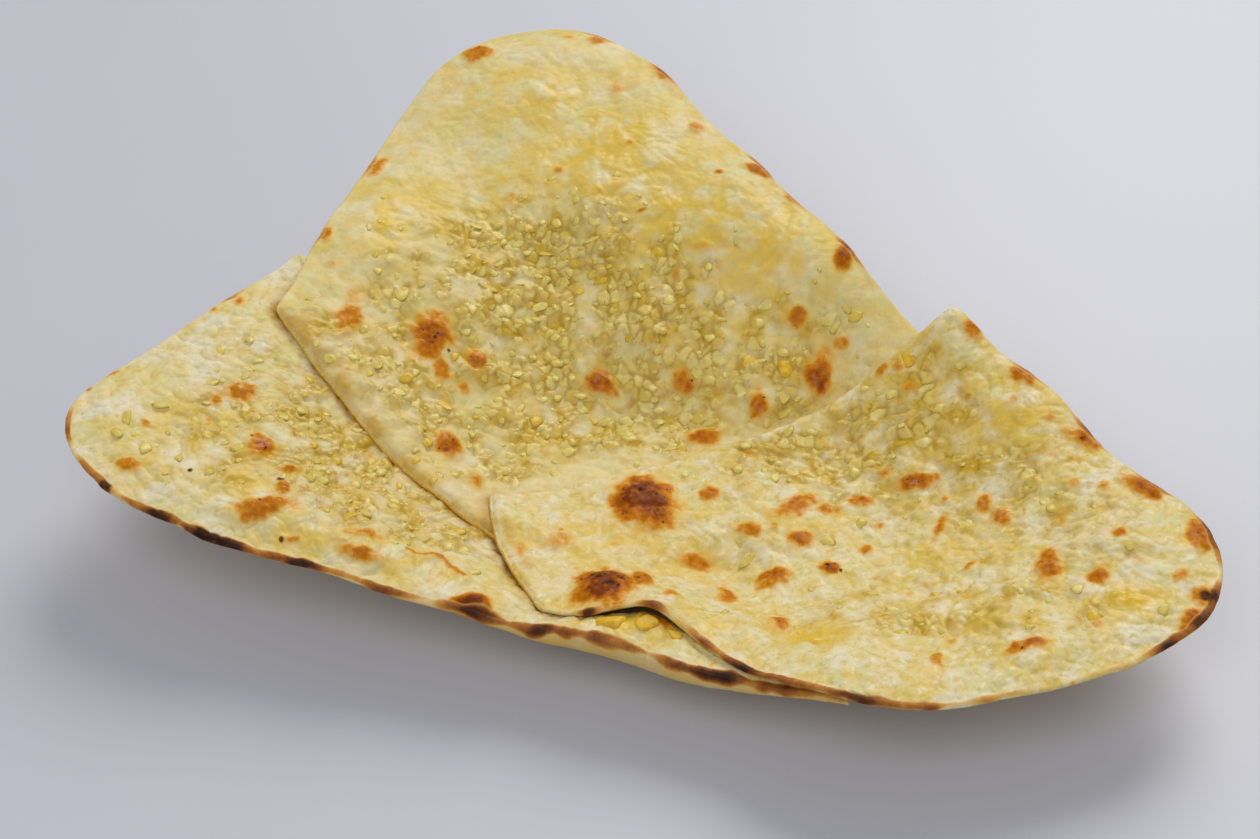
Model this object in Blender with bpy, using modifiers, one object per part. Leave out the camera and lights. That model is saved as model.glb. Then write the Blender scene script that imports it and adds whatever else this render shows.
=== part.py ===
"""A flat naan bread cut into slices with two crossing cuts.

Three slices lie overlapped round one low middle, so that together they keep the shape of a
shallow dish: the left slice at the bottom, the back slice on it, and the right slice on both.
Lengths are metres, +Z is up, and the naan rests on the flat underside of its left slice.
"""

import math

import bmesh
import bpy
import numpy as np
from mathutils import Vector
from mathutils.geometry import interpolate_bezier

MM = 0.001

# Bread
BREAD_THICKNESS = 4.0 * MM
CRUST_SHARE = 0.62  # thickness left at the baked rim, as a share of the bread's
CRUST_TAPER = 14.0 * MM  # how far in from the rim the bread reaches its full thickness
LAYER_GAP = 0.55 * MM  # air between two slices that lie on each other
DRAPE_REACH = 34.0 * MM  # how far past a lower slice's edge an upper slice takes to come down
DRAPE_MARGIN = 4.0 * MM  # how far past that edge it stays at full height

# Dish that the slices form together
DISH_MIDDLE = (10.0 * MM, -69.0 * MM)
DISH_TURN = math.radians(-22.0)
DISH_SQUARENESS = 2.5
BEND_LENGTH = 12.0 * MM  # half the length over which the bread bends from one slope to the next
# Each way out from the middle: distance to the rim, height of the rim, share of the way that is
# flat, and slope past the rim
DISH_WAYS = {
    "right": (120.0 * MM, 27.0 * MM, 0.42, 0.12),
    "back": (88.0 * MM, 40.0 * MM, 0.46, 0.22),
    "left": (120.0 * MM, 33.0 * MM, 0.38, 0.10),
    "front": (74.0 * MM, 22.0 * MM, 0.36, 0.10),
}

# Gentle waves of the baked sheet: height, wave lengths across and along, and shift
WAVES = (
    (0.9 * MM, 71.0 * MM, 113.0 * MM, 0.4),
    (0.7 * MM, -53.0 * MM, 67.0 * MM, 2.1),
    (0.5 * MM, 37.0 * MM, -149.0 * MM, 4.0),
)
FOOT_FADE_HEIGHT = 12.0 * MM  # waves and swells fade out below this height: the foot stays flat

# Outlines in millimetres. Each slice has an inner point where the cuts cross, two corners
# where a cut meets the baked rim, and a tip on that rim. Bows bend the two cuts sideways.
# Lips are places where the bread curls up off the slice below, and swells are places where it
# is puffed downwards: place, height and width.
SLICES = {
    "slice_left": {
        "inner_point": (25, -30),
        "rim": [(-102, 15), (-133, -24), (-157, -53), (-160, -67), (-150, -86), (-130, -100),
                (-81, -116), (-14, -136), (30, -152), (57, -159)],
        "tip_index": 3,
        "bows": (0, 0),
        "cells": (30, 20),
        "lies_on": (),
        "lips": (),
        "swells": ((2, -142, 3.5, 34),),
    },
    "slice_back": {
        "inner_point": (0, -104),
        "rim": [(-106, -16), (-87, 42), (-66, 92), (-44, 111), (-26, 112), (-9, 108), (7, 94),
                (25, 67), (62, 17), (104, -40)],
        "tip_index": 4,
        "bows": (-12, 0),
        "cells": (30, 22),
        "lies_on": ("slice_left",),
        "lips": (),
        "swells": (),
    },
    "slice_right": {
        "inner_point": (-42, -69),
        "rim": [(96, -17), (123, -48), (144, -82), (155, -96), (160, -110), (157, -126), (149, -139),
                (116, -156), (79, -164), (60, -164), (29, -149), (16, -134), (3, -126), (-9, -127),
                (-24, -124)],
        "tip_index": 5,
        "bows": (2, 3),
        "cells": (32, 18),
        "lies_on": ("slice_left", "slice_back"),
        "lips": ((6, -118, 4, 13),),
        "swells": (),
    },
}

LINE_STEPS = 24  # short straight stretches between two points of an outline

BREAD_COLOURS = {
    "slice_left": (0.78, 0.66, 0.38, 1.0),
    "slice_back": (0.72, 0.61, 0.33, 1.0),
    "slice_right": (0.80, 0.67, 0.38, 1.0),
}
BREAD_ROUGHNESS = 0.5


def clear_scene():
    for thing in list(bpy.data.objects):
        bpy.data.objects.remove(thing, do_unlink=True)


def smoothstep(x):
    x = np.clip(x, 0.0, 1.0)
    return x * x * (3.0 - 2.0 * x)


def ramp(x, bend):
    """0 below -bend, x above bend, and a parabola between them."""
    return np.where(x < -bend, 0.0, np.where(x > bend, x, (x + bend) ** 2 / (4.0 * bend)))


def waves(x, y):
    total = np.zeros_like(x)
    for height, across, along, shift in WAVES:
        total += height * np.sin(2.0 * math.pi * (x / across + y / along) + shift)
    return total


def bumps(places, x, y):
    """Sum of rounded bumps, each given by its place, height and width in millimetres."""
    total = np.zeros_like(x)
    for middle_x, middle_y, height, width in places:
        away = np.hypot(x - middle_x * MM, y - middle_y * MM) / (width * MM)
        total += height * MM * np.exp(-0.5 * away**2)
    return total


def dish_height(x, y):
    """Height of the dish's underside above the flat foot."""
    dx, dy = x - DISH_MIDDLE[0], y - DISH_MIDDLE[1]
    along = dx * math.cos(DISH_TURN) + dy * math.sin(DISH_TURN)
    across = dy * math.cos(DISH_TURN) - dx * math.sin(DISH_TURN)
    out = np.hypot(along, across) + 1e-9
    cos_way, sin_way = along / out, across / out
    parts = {
        "right": np.clip(cos_way, 0, 1),
        "left": np.clip(-cos_way, 0, 1),
        "back": np.clip(sin_way, 0, 1),
        "front": np.clip(-sin_way, 0, 1),
    }
    rim = sum((parts[way] / DISH_WAYS[way][0]) ** DISH_SQUARENESS for way in DISH_WAYS)
    rim = rim ** (-1.0 / DISH_SQUARENESS)
    rim_height, flat_share, flare = (
        sum(parts[way] ** 2 * DISH_WAYS[way][k] for way in DISH_WAYS) for k in (1, 2, 3)
    )
    flat = flat_share * rim
    past_flat, past_rim = ramp(out - flat, BEND_LENGTH), ramp(out - rim, BEND_LENGTH)
    height = rim_height / (rim - flat) * (past_flat - past_rim) + flare * past_rim
    return height + waves(x, y) * smoothstep(height / FOOT_FADE_HEIGHT)


def stretch(x, y):
    """How much taller than the bread is thick a vertical cut through it is, on the dish's slope."""
    step = 1.0 * MM
    slope_x = (dish_height(x + step, y) - dish_height(x - step, y)) / (2 * step)
    slope_y = (dish_height(x, y + step) - dish_height(x, y - step)) / (2 * step)
    return np.sqrt(1.0 + slope_x**2 + slope_y**2)


def smooth_line(points):
    """A smooth line through the points, whose direction at each one follows its two neighbours."""
    ways = np.gradient(points, axis=0)
    ways /= np.linalg.norm(ways, axis=1)[:, None]
    spans = []
    for k in range(len(points) - 1):
        pull = np.linalg.norm(points[k + 1] - points[k]) / 3.0
        knots = points[k], points[k] + ways[k] * pull, points[k + 1] - ways[k + 1] * pull, points[k + 1]
        span = interpolate_bezier(*(Vector((*knot, 0.0)) for knot in knots), LINE_STEPS + 1)
        spans += [point.xy for point in span[:-1]]
    return np.array([*spans, points[-1]])


def bowed_cut(start, end, bow):
    """A knife cut from start to end that bends sideways by bow at its middle."""
    t = np.linspace(0.0, 1.0, LINE_STEPS + 1)[:, None]
    run = end - start
    side = np.array([run[1], -run[0]]) / np.linalg.norm(run)
    return start + run * t + side * bow * 4.0 * t * (1.0 - t)


def even_points(line, cells):
    """cells + 1 points spaced evenly along a line."""
    lengths = np.concatenate([[0.0], np.cumsum(np.linalg.norm(np.diff(line, axis=0), axis=1))])
    at = np.linspace(0.0, lengths[-1], cells + 1)
    return np.stack([np.interp(at, lengths, line[:, k]) for k in range(2)], axis=1)


def slice_sides(shape):
    """The four sides of a slice: both cuts from the inner point, and the rim up to and past its tip."""
    inner = np.array(shape["inner_point"], float) * MM
    rim = np.array(shape["rim"], float) * MM
    line = smooth_line(rim)
    tip = shape["tip_index"] * LINE_STEPS
    return {
        "first_cut": bowed_cut(inner, rim[0], shape["bows"][0] * MM),
        "second_cut": bowed_cut(inner, rim[-1], shape["bows"][1] * MM),
        "first_rim": line[: tip + 1],
        "second_rim": line[tip:][::-1],
    }


def outline_of(sides):
    return np.vstack(
        [sides["first_cut"], sides["first_rim"], sides["second_rim"][::-1], sides["second_cut"][::-1]]
    )


def distance_to(line, points):
    """Shortest distance from each point to a line of short straight stretches."""
    a, b = line[:-1], line[1:]
    run = b - a
    length2 = np.maximum((run**2).sum(1), 1e-18)
    best = np.full(len(points), np.inf)
    for start, along, size in zip(a, run, length2, strict=True):
        t = np.clip((points - start) @ along / size, 0.0, 1.0)
        best = np.minimum(best, np.linalg.norm(points - start - t[:, None] * along, axis=1))
    return best


def inside(outline, points):
    """True for each point that lies within a closed outline."""
    x, y = points.T
    within = np.zeros(len(points), bool)
    for (x0, y0), (x1, y1) in zip(outline, np.roll(outline, -1, axis=0), strict=True):
        crosses = (y0 > y) != (y1 > y)
        level = np.where(crosses, y1 - y0, 1.0)
        within ^= crosses & (x < x0 + (y - y0) * (x1 - x0) / level)
    return within


def cover_of(lower_sides, points):
    """1 over a lower slice and just past its edge, falling smoothly to 0 over the drape's reach."""
    outline = outline_of(lower_sides)
    out = np.where(inside(outline, points), 0.0, distance_to(outline, points))
    return 1.0 - smoothstep((out - DRAPE_MARGIN) / DRAPE_REACH)


def slice_heights(shape, points, all_sides):
    """Height of the underside of a slice at each point of its plan."""
    x, y = points.T
    layer = (BREAD_THICKNESS + LAYER_GAP) * stretch(x, y)
    height = dish_height(x, y)
    for lower in shape["lies_on"]:
        height += layer * cover_of(all_sides[lower], points)
    return height + bumps(shape["lips"], x, y) - swell(shape, x, y)


def swell(shape, x, y):
    """How far a slice is puffed out below its underside."""
    return bumps(shape["swells"], x, y) * smoothstep(dish_height(x, y) / FOOT_FADE_HEIGHT)


def slice_thickness(shape, points, rim_line):
    """Thickness of a slice at each point of its plan: thinner at the baked rim, more at a swell."""
    inwards = smoothstep(distance_to(rim_line, points) / CRUST_TAPER)
    bread = BREAD_THICKNESS * (CRUST_SHARE + (1.0 - CRUST_SHARE) * inwards)
    return bread + swell(shape, *points.T)


def plan_points(sides, cells):
    """A grid of points that fills the outline, blended between its four sides."""
    along, across = cells
    first_cut = even_points(sides["first_cut"], along)[:, None]
    second_rim = even_points(sides["second_rim"], along)[:, None]
    second_cut = even_points(sides["second_cut"], across)[None]
    first_rim = even_points(sides["first_rim"], across)[None]
    s = np.linspace(0.0, 1.0, along + 1)[:, None, None]
    t = np.linspace(0.0, 1.0, across + 1)[None, :, None]
    inner, corner = first_cut[0, 0], first_cut[-1, 0]
    other_corner, tip = second_rim[0, 0], second_rim[-1, 0]
    between_corners = (
        (1 - s) * (1 - t) * inner + s * (1 - t) * corner + (1 - s) * t * other_corner + s * t * tip
    )
    return (1 - t) * first_cut + t * second_rim + (1 - s) * second_cut + s * first_rim - between_corners


def bread_material(name):
    material = bpy.data.materials.new(f"{name}_bread")
    material.use_nodes = True
    shader = material.node_tree.nodes["Principled BSDF"]
    shader.inputs["Base Color"].default_value = BREAD_COLOURS[name]
    shader.inputs["Roughness"].default_value = BREAD_ROUGHNESS
    shader.inputs["Metallic"].default_value = 0.0
    return material


def make_slice(name, shape, all_sides, collection, parent):
    """One slice: a grid warped to its outline and laid on the dish, then given its thickness."""
    sides = all_sides[name]
    cells = shape["cells"]
    plan = plan_points(sides, cells).reshape(-1, 2)
    heights = slice_heights(shape, plan, all_sides)

    grid = bmesh.new()
    bmesh.ops.create_grid(grid, x_segments=cells[0], y_segments=cells[1], size=1.0)
    order = sorted(grid.verts, key=lambda v: (round(v.co.x, 4), round(v.co.y, 4)))
    for vertex, (x, y), z in zip(order, plan, heights, strict=True):
        vertex.co = Vector((x, y, z))
    bmesh.ops.recalc_face_normals(grid, faces=grid.faces)
    if sum(face.normal.z for face in grid.faces) < 0:
        bmesh.ops.reverse_faces(grid, faces=grid.faces)
    ranks = {vertex.index: rank for rank, vertex in enumerate(order)}
    mesh = bpy.data.meshes.new(name)
    grid.to_mesh(mesh)
    grid.free()
    mesh.materials.append(bread_material(name))

    bread = bpy.data.objects.new(name, mesh)
    collection.objects.link(bread)
    bread.parent = parent

    rim_line = np.vstack([sides["first_rim"], sides["second_rim"][::-1]])
    thickness = slice_thickness(shape, plan, rim_line)
    group = bread.vertex_groups.new(name="thickness")
    for vertex in mesh.vertices:
        share = thickness[ranks[vertex.index]] / thickness.max()
        group.add([vertex.index], float(share), "REPLACE")

    body = bread.modifiers.new("bread", "SOLIDIFY")
    body.thickness = float(thickness.max())
    body.offset = 1.0
    body.use_even_offset = True
    body.use_quality_normals = True
    body.vertex_group = group.name
    mesh.shade_smooth()
    return bread


def centre_on_footprint(parent, slices):
    """Moves the parent so that the footprint's middle is the origin and the foot is at height 0."""
    bpy.context.view_layer.update()
    graph = bpy.context.evaluated_depsgraph_get()
    corners = np.array(
        [vertex.co for bread in slices for vertex in bread.evaluated_get(graph).data.vertices]
    )
    low, high = corners.min(0), corners.max(0)
    parent.location = (-(low[0] + high[0]) / 2, -(low[1] + high[1]) / 2, -low[2])
    bpy.context.view_layer.update()


def main():
    clear_scene()
    collection = bpy.data.collections.new("naan")
    bpy.context.scene.collection.children.link(collection)
    parent = bpy.data.objects.new("naan_middle", None)
    collection.objects.link(parent)
    all_sides = {name: slice_sides(shape) for name, shape in SLICES.items()}
    slices = [
        make_slice(name, shape, all_sides, collection, parent)
        for name, shape in SLICES.items()
    ]
    centre_on_footprint(parent, slices)


main()
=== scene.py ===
"""Looks of a garlic naan cut into slices that lie overlapped in the shape of a shallow dish.

Each slice is a sheet of baked dough with blisters, browned spots, a baked crust along its rim
and knife cuts along its other two sides. Minced garlic, slivers of garlic, lumps of butter and
burnt flecks lie on it. Lengths are metres, and +Z is up.
"""

import functools
import math

import bmesh
import bpy
import numpy as np
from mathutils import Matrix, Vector
from mathutils.bvhtree import BVHTree
from mathutils.geometry import delaunay_2d_cdt
from mathutils.kdtree import KDTree


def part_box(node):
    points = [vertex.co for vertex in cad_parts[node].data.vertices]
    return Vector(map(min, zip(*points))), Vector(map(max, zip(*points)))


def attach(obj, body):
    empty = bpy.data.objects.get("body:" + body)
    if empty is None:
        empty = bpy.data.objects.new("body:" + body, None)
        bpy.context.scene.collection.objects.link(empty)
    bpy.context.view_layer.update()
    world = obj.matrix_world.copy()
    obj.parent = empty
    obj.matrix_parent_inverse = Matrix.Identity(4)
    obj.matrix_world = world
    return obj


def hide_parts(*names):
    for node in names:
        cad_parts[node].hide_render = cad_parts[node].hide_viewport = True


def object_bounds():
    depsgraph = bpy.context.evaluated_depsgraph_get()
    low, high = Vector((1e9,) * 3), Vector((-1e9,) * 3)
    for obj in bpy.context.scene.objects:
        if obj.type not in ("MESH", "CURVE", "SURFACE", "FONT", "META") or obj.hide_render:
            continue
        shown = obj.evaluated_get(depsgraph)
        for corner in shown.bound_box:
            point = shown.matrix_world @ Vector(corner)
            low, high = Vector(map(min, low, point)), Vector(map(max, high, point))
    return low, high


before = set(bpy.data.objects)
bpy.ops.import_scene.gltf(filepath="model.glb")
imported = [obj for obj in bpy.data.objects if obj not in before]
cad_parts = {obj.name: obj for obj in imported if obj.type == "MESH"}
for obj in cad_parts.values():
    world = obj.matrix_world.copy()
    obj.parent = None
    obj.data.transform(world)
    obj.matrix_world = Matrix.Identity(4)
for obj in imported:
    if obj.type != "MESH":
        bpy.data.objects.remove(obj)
CAD_BOX = [list(corner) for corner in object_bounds()]

bl_info = {
    "name": "Garlic naan",
    "version": (1, 0, 0),
    "blender": (4, 5, 0),
    "location": "3D View > Sidebar > Naan",
    "description": "Makes a garlic naan cut into overlapping slices",
    "category": "Add Mesh",
}

MM = 0.001
BODY = "root"


def shade(red, green, blue):
    """The linear colour of a screen colour given in steps of 0 to 255."""
    return tuple(
        step / 3294.6 if step <= 10.3 else ((step / 255.0 + 0.055) / 1.055) ** 2.4
        for step in (red, green, blue)
    )


# Slices, lowest first: each lies on the ones before it
SLICES = ("slice_left", "slice_back", "slice_right")

# Browned spots of each slice in millimetres and degrees:
# x, y, length, width, turn, depth of the browning
SPOTS = {
    "slice_left": (
        (-112, -24, 11, 8, 0, 0.55), (-118, -28, 6, 4, 100, 0.5), (-105, -46, 10, 8, 95, 0.65),
        (-139, -57, 8, 5, -20, 0.5), (-101, -69, 18, 8, 18, 0.65), (-97, -60, 6, 4, 100, 0.6),
        (-74, -76, 10, 5, 15, 0.6), (-73, -84, 13, 5, -10, 0.55), (-96, -52, 6, 3, 20, 0.55),
        (-150, -18, 5, 3, 30, 0.45), (-155, -26, 4, 3, 110, 0.45), (-117, 15, 6, 5, 100, 0.5),
        (-124, 11, 4, 3, 100, 0.35), (-137, -40, 4, 3, -45, 0.4), (-43, -99, 14, 8, -8, 0.95),
        (7, -105, 9, 4, -20, 0.7),
        (-76, -36, 5, 4, 95, 0.3), (-93, -79, 8, 3, 0, 0.4),
    ),
    "slice_back": (
        (-50, 126, 12, 10, 90, 0.6), (-11, 130, 9, 5, 0, 0.5), (11, 112, 14, 5, -50, 0.55),
        (-4, 106, 7, 6, 90, 0.3), (21, 88, 6, 6, 0, 0.6), (40, 68, 11, 5, -20, 0.65),
        (51, 57, 9, 4, -40, 0.5), (65, 33, 9, 6, 90, 0.8), (-93, 43, 7, 5, 95, 0.5),
        (-80, 77, 11, 6, 65, 0.45), (-37, 63, 6, 5, 90, 0.3), (28, 67, 3, 2, 0, 0.75),
        (-85, 12, 18, 8, 85, 0.5), (-60, 11, 17, 12, 90, 0.75), (-57, 1, 9, 6, 90, 0.5),
        (-47, 5, 9, 7, 90, 0.55), (-54, -26, 12, 9, 92, 0.7), (-45, -37, 8, 6, 92, 0.45),
        (-9, 6, 13, 8, -25, 0.65), (16, 5, 9, 6, 105, 0.6), (22, -13, 12, 7, 0, 0.65),
        (39, -5, 10, 6, 90, 0.65), (57, 2, 12, 9, 90, 0.85), (51, 18, 8, 7, 0, 0.6),
        (64, 10, 5, 4, 0, 0.45), (22, 41, 8, 4, 0, 0.25), (40, 41, 8, 5, 0, 0.22),
        (22, -5, 4, 3, 90, 0.3), (4, 55, 5, 1.8, 15, 0.75),
    ),
    "slice_right": (
        (4, -45, 24, 19, 98, 1.0), (-7, -88, 22, 17, 92, 1.05), (3, -83, 13, 7, 90, 0.7),
        (23, -41, 8, 6, 90, 0.6), (18, -67, 11, 7, 6, 0.55), (26, -83, 12, 6, 88, 0.6),
        (11, -91, 6, 5, 90, 0.5), (-21, -65, 11, 8, 40, 0.38), (-31, -68, 9, 4, 95, 0.4),
        (47, -47, 18, 8, 42, 0.65), (56, -48, 8, 5, 5, 0.5), (34, -56, 8, 6, 0, 0.5),
        (41, -56, 6, 4, 90, 0.4), (67, -45, 8, 5, -10, 0.65), (83, -41, 13, 6, 6, 0.7),
        (74, -36, 5, 4, 15, 0.5), (75, -3, 5, 4, 90, 0.5), (83, -11, 6, 4, -20, 0.4),
        (101, 0, 7, 6, 85, 0.6), (99, -19, 3, 3, 0, 0.4), (115, -16, 12, 6, -40, 0.65),
        (120, -31, 5, 3, 0, 0.4), (129, -38, 13, 7, -25, 0.7), (142, -61, 13, 8, -50, 0.7),
        (155, -80, 15, 9, 80, 0.65), (48, -61, 9, 7, 20, 0.65), (40, -75, 11, 9, 5, 0.65),
        (56, -72, 7, 5, 0, 0.85), (67, -64, 6, 5, 85, 0.55), (88, -60, 11, 4, 70, 0.6),
        (101, -54, 7, 4, 85, 0.7), (105, -61, 8, 6, 85, 0.6), (114, -86, 15, 7, 82, 0.75),
        (126, -93, 7, 6, 80, 0.65), (134, -79, 4, 4, 0, 0.65), (104, -119, 13, 5, 17, 0.7),
        (40, -100, 9, 8, 85, 0.6), (80, -120, 6, 4, 85, 0.5), (94, -79, 6, 2, 45, 0.5),
        (147, -95, 6, 4, 35, 0.4), (148, -111, 10, 8, 80, 0.75),
        (152, -102, 8, 6, 80, 0.8), (-2, -62, 62, 40, 100, 0.1),
    ),
}

# Burnt bumps on the baked rim in millimetres: x, y, width, how far they stick out, how black
RIM_NIBS = {
    "slice_left": (
        (-145, -65, 3.0, 0.7, 1.0), (-129, -76, 5.0, 0.5, 0.75), (-115, -81, 7.0, 1.6, 1.0),
        (-67, -98, 2.0, 0.5, 1.0), (-42, -102, 6.0, 0.8, 0.35),
    ),
    "slice_back": ((67, 36, 4.0, 0.4, 0.3),),
    "slice_right": ((153, -101, 3.6, 0.4, 0.9), (58, -138, 6.0, 0.5, 0.6), (-11, -100, 2.2, 0.9, 0.7)),
}

# Stretches of the rim that the oven has browned, in millimetres: x, y, reach, strength
RIM_BROWNING = {
    "slice_left": (
        (-158, -42, 7, 0.5), (-148, -62, 9, 0.55), (-130, -75, 11, 0.75), (-112, -81, 13, 1.0),
        (-90, -88, 13, 0.8), (-67, -95, 11, 0.55), (-42, -101, 10, 0.85), (-22, -107, 12, 0.9),
        (-6, -113, 9, 0.85), (20, -123, 14, 0.9), (40, -130, 12, 0.8), (56, -136, 12, 0.5),
        (-118, 17, 5, 0.35),
    ),
    "slice_back": (
        (66, 34, 6, 0.6), (40, 69, 6, 0.45), (11, 113, 7, 0.45), (-10, 133, 6, 0.35),
        (-80, 78, 7, 0.3), (-94, 43, 5, 0.35), (52, 56, 6, 0.35),
    ),
    "slice_right": (
        (116, -14, 6, 0.45), (131, -36, 8, 0.5), (144, -60, 7, 0.5), (158, -80, 9, 0.6),
        (152, -106, 9, 1.0), (142, -119, 9, 0.75), (125, -131, 7, 0.35), (94, -139, 10, 0.35),
        (76, -141, 8, 0.7), (58, -139, 12, 0.85), (40, -130, 10, 0.75), (29, -121, 8, 0.95),
        (20, -111, 7, 0.6), (6, -101, 4, 0.6), (-11, -100, 3, 0.7),
    ),
}

# Dark pits burnt into the top, in millimetres: x, y, width
PITS = {
    "slice_left": ((-122, -59, 1.5), (-95, -79, 1.6), (-98, -57, 2.0), (-107, -42, 1.0)),
    "slice_back": ((-59, 10, 1.2), (-55, 7, 0.9)),
    "slice_right": (
        (3, -41, 1.6), (-8, -86, 2.4), (-5, -90, 2.8), (-10, -83, 1.4), (-2, -88, 1.2),
        (152.5, -102, 3.4), (55, -71, 1.2), (59, -73, 1.0),
    ),
}

# Folds that stand up, in millimetres: x and y of both ends, width, height, how brown the crest is
RIDGES = {
    "slice_left": (
        (-62, -79, -54, -80, 2.4, 1.1, 0.5), (-54, -80, -46, -87, 2.4, 1.1, 0.6),
        (-80, -80, -68, -84, 2.6, 0.9, 0.3), (-110, -70, -92, -74, 4.0, 0.7, 0.0),
        (-128, -64, -112, -72, 3.0, 0.6, 0.0), (-104, -36, -84, -52, 4.0, 0.6, 0.0),
        (-136, -52, -118, -62, 3.0, 0.6, 0.0),
    ),
    "slice_back": (
        (-12, 58, -9, 46, 5.0, 1.3, 0.0), (3, 36, 5, 20, 4.5, 1.8, 0.0), (5, 20, 2, 4, 4.0, 1.5, 0.0),
        (-76, 8, -70, -22, 4.0, 1.5, 0.0), (-66, 2, -62, -26, 3.0, 1.2, 0.0),
        (-92, 10, -80, -14, 5.0, 1.2, 0.0), (-40, 4, -28, -24, 4.0, 1.1, 0.0),
        (-20, -18, 14, -14, 4.0, 1.1, 0.0), (-52, 22, -44, 4, 4.0, 1.1, 0.0),
    ),
    "slice_right": (
        (104, -62, 122, -60, 3.0, 0.8, 0.0), (112, -52, 136, -56, 3.0, 0.7, 0.0),
        (96, -92, 124, -100, 3.6, 0.8, 0.0), (76, -100, 100, -108, 3.6, 0.7, 0.0),
        (120, -78, 140, -84, 3.0, 0.7, 0.0), (60, -88, 84, -96, 4.0, 0.6, 0.0),
        (8, -101, 22, -114, 2.6, 0.9, 0.0), (-20, -50, 10, -56, 5.0, 0.6, 0.0),
    ),
}

# Bubbles and sags: x, y, reach across, reach along, height, all in millimetres
BUBBLES = {
    "slice_left": ((4, -103, 17, 9, 3.6), (-42, -96, 9, 5, 1.6), (-97, -69, 11, 6, 1.2)),
    "slice_back": ((-30, 100, 20, 14, 1.0), (10, 80, 18, 14, 0.9), (-60, 60, 14, 14, 0.8)),
    "slice_right": (
        (4, -45, 15, 12, 1.2), (-7, -88, 13, 10, 1.2), (5, -104, 16, 6, 0.8), (48, -56, 22, 14, 0.8),
        (130, -75, 12, 12, 0.9), (92, -100, 18, 10, 0.8),
    ),
}

# Where oil and painted shade darken the dough along a line, in millimetres: x and y of both ends, reach,
# strength
OILED_AND_SHADED = {
    "slice_left": (),
    "slice_back": (
        (-102, 8, -86, -14, 3.4, 0.8), (-86, -14, -60, -43, 3.0, 0.85), (-60, -43, -42, -56, 2.6, 0.7),
    ),
    "slice_right": ((-37, -56, -28, -78, 2.4, 0.6), (-34, -76, -26, -98, 2.4, 0.6)),
}

# Where oil and painted shadow lie under an upper slice's edge: x, y, reach across, reach along, strength
SHADED_OIL_UNDER_EDGES = (
    (-104, 8, 20, 18, 1.0), (-84, -20, 24, 22, 1.0), (-58, -46, 20, 18, 1.0), (-34, -74, 14, 22, 1.0),
    (-22, -97, 16, 12, 1.0),
)

# Where the garlic lies thick, in millimetres: x, y, reach across, reach along, how thick
GARLIC_ZONES = {
    "slice_left": (
        (-82, -36, 26, 26, 0.9), (-100, -30, 26, 22, 0.45), (-58, -62, 22, 18, 0.7),
        (-120, -45, 22, 22, 0.25), (-80, -65, 30, 16, 0.35),
    ),
    "slice_back": (
        (-22, 38, 27, 20, 1.0), (-38, 46, 18, 14, 0.9), (-3, 32, 22, 14, 0.9),
        (-30, 14, 26, 16, 0.75), (20, 8, 34, 16, 0.8), (-24, -4, 24, 16, 0.7),
        (48, 2, 18, 18, 0.55), (-62, 28, 18, 18, 0.4), (0, -12, 34, 10, 0.7),
        (18, 34, 20, 16, 0.3), (-66, -8, 16, 24, 0.6), (-44, -28, 18, 14, 0.6), (-88, 4, 14, 18, 0.5),
    ),
    "slice_right": (
        (50, -22, 26, 13, 0.8), (84, -18, 20, 18, 0.75), (62, -38, 24, 12, 0.4),
        (100, -46, 26, 18, 0.55), (56, -100, 22, 10, 0.4), (86, -92, 34, 22, 0.4),
        (124, -66, 22, 22, 0.35), (22, -62, 36, 24, 0.3), (112, -104, 30, 14, 0.35),
    ),
}

# Where the butter has soaked in yellow, in millimetres: x, y, reach across, reach along, strength
BUTTER_ZONES = {
    "slice_left": (
        (-108, -60, 12, 8, 0.6), (-130, -48, 14, 9, 0.5), (-92, -76, 14, 8, 0.6),
        (-60, -80, 18, 8, 0.5), (-120, -36, 16, 10, 0.4), (-40, -88, 20, 8, 0.5),
        (0, -104.5, 17, 8, 1.0),
    ),
    "slice_back": (
        (-28, 104, 24, 12, 0.6), (-2, 84, 26, 16, 0.7), (-20, 70, 30, 12, 0.6),
        (14, 52, 26, 16, 0.8), (42, 44, 22, 16, 0.6), (-76, 47, 6.5, 8.5, 1.0), (-60, 56, 16, 12, 0.5),
        (38, 22, 24, 14, 0.6),
    ),
    "slice_right": (
        (92, -22, 26, 16, 0.6), (50, -62, 40, 26, 0.25), (-5, -66, 30, 26, 0.25),
        (134, -103, 12, 7, 1.0), (48, -109, 12, 8, 1.0), (83, -6, 9, 8, 0.8), (110, -30, 16, 10, 0.6),
        (100, -72, 24, 12, 0.5), (20, -106, 16, 8, 0.7), (-20, -60, 16, 12, 0.4), (90, -106, 22, 9, 0.5),
    ),
}

# Lumps of soft butter: x, y, length, width, turn, height (millimetres and degrees)
BUTTER_LUMPS = (
    (-15, 32, 4, 3, 60, 1.2), (-9, 35, 6, 4, 20, 1.6), (47, 4, 9, 7, 80, 1.6),
    (82, -4, 7, 5, 100, 1.4), (50, -112, 7, 5, 30, 1.2), (46, -105, 5, 4, 100, 1.0),
    (-5, -103.5, 12, 8, 165, 3.0), (4, -104.5, 9, 7, 10, 3.0), (12, -107, 7, 5, 150, 2.2),
)

# Where the surface is finely wrinkled, in millimetres: x, y, reach across, reach along, strength
WRINKLED = (
    (120, -70, 34, 30, 1.0), (80, -100, 30, 20, 0.5), (-110, -60, 30, 16, 0.5), (0, 60, 40, 20, 0.3),
)

# Where an edge curls up, in millimetres: x, y, reach across, reach along, how far
CURLS = {
    "slice_left": ((-14, -112, 27, 13, 3.8),),
    "slice_back": (),
    "slice_right": ((97, 10, 13, 10, 3.2), (4, -101, 12, 8, 3.0)),
}

# Where an upper slice stands off the one below, in millimetres: x, y, reach across, along, strength
KEPT_UP = ((4, -103, 19, 10, 1.0), (16, -108, 13, 9, 1.0))
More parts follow.
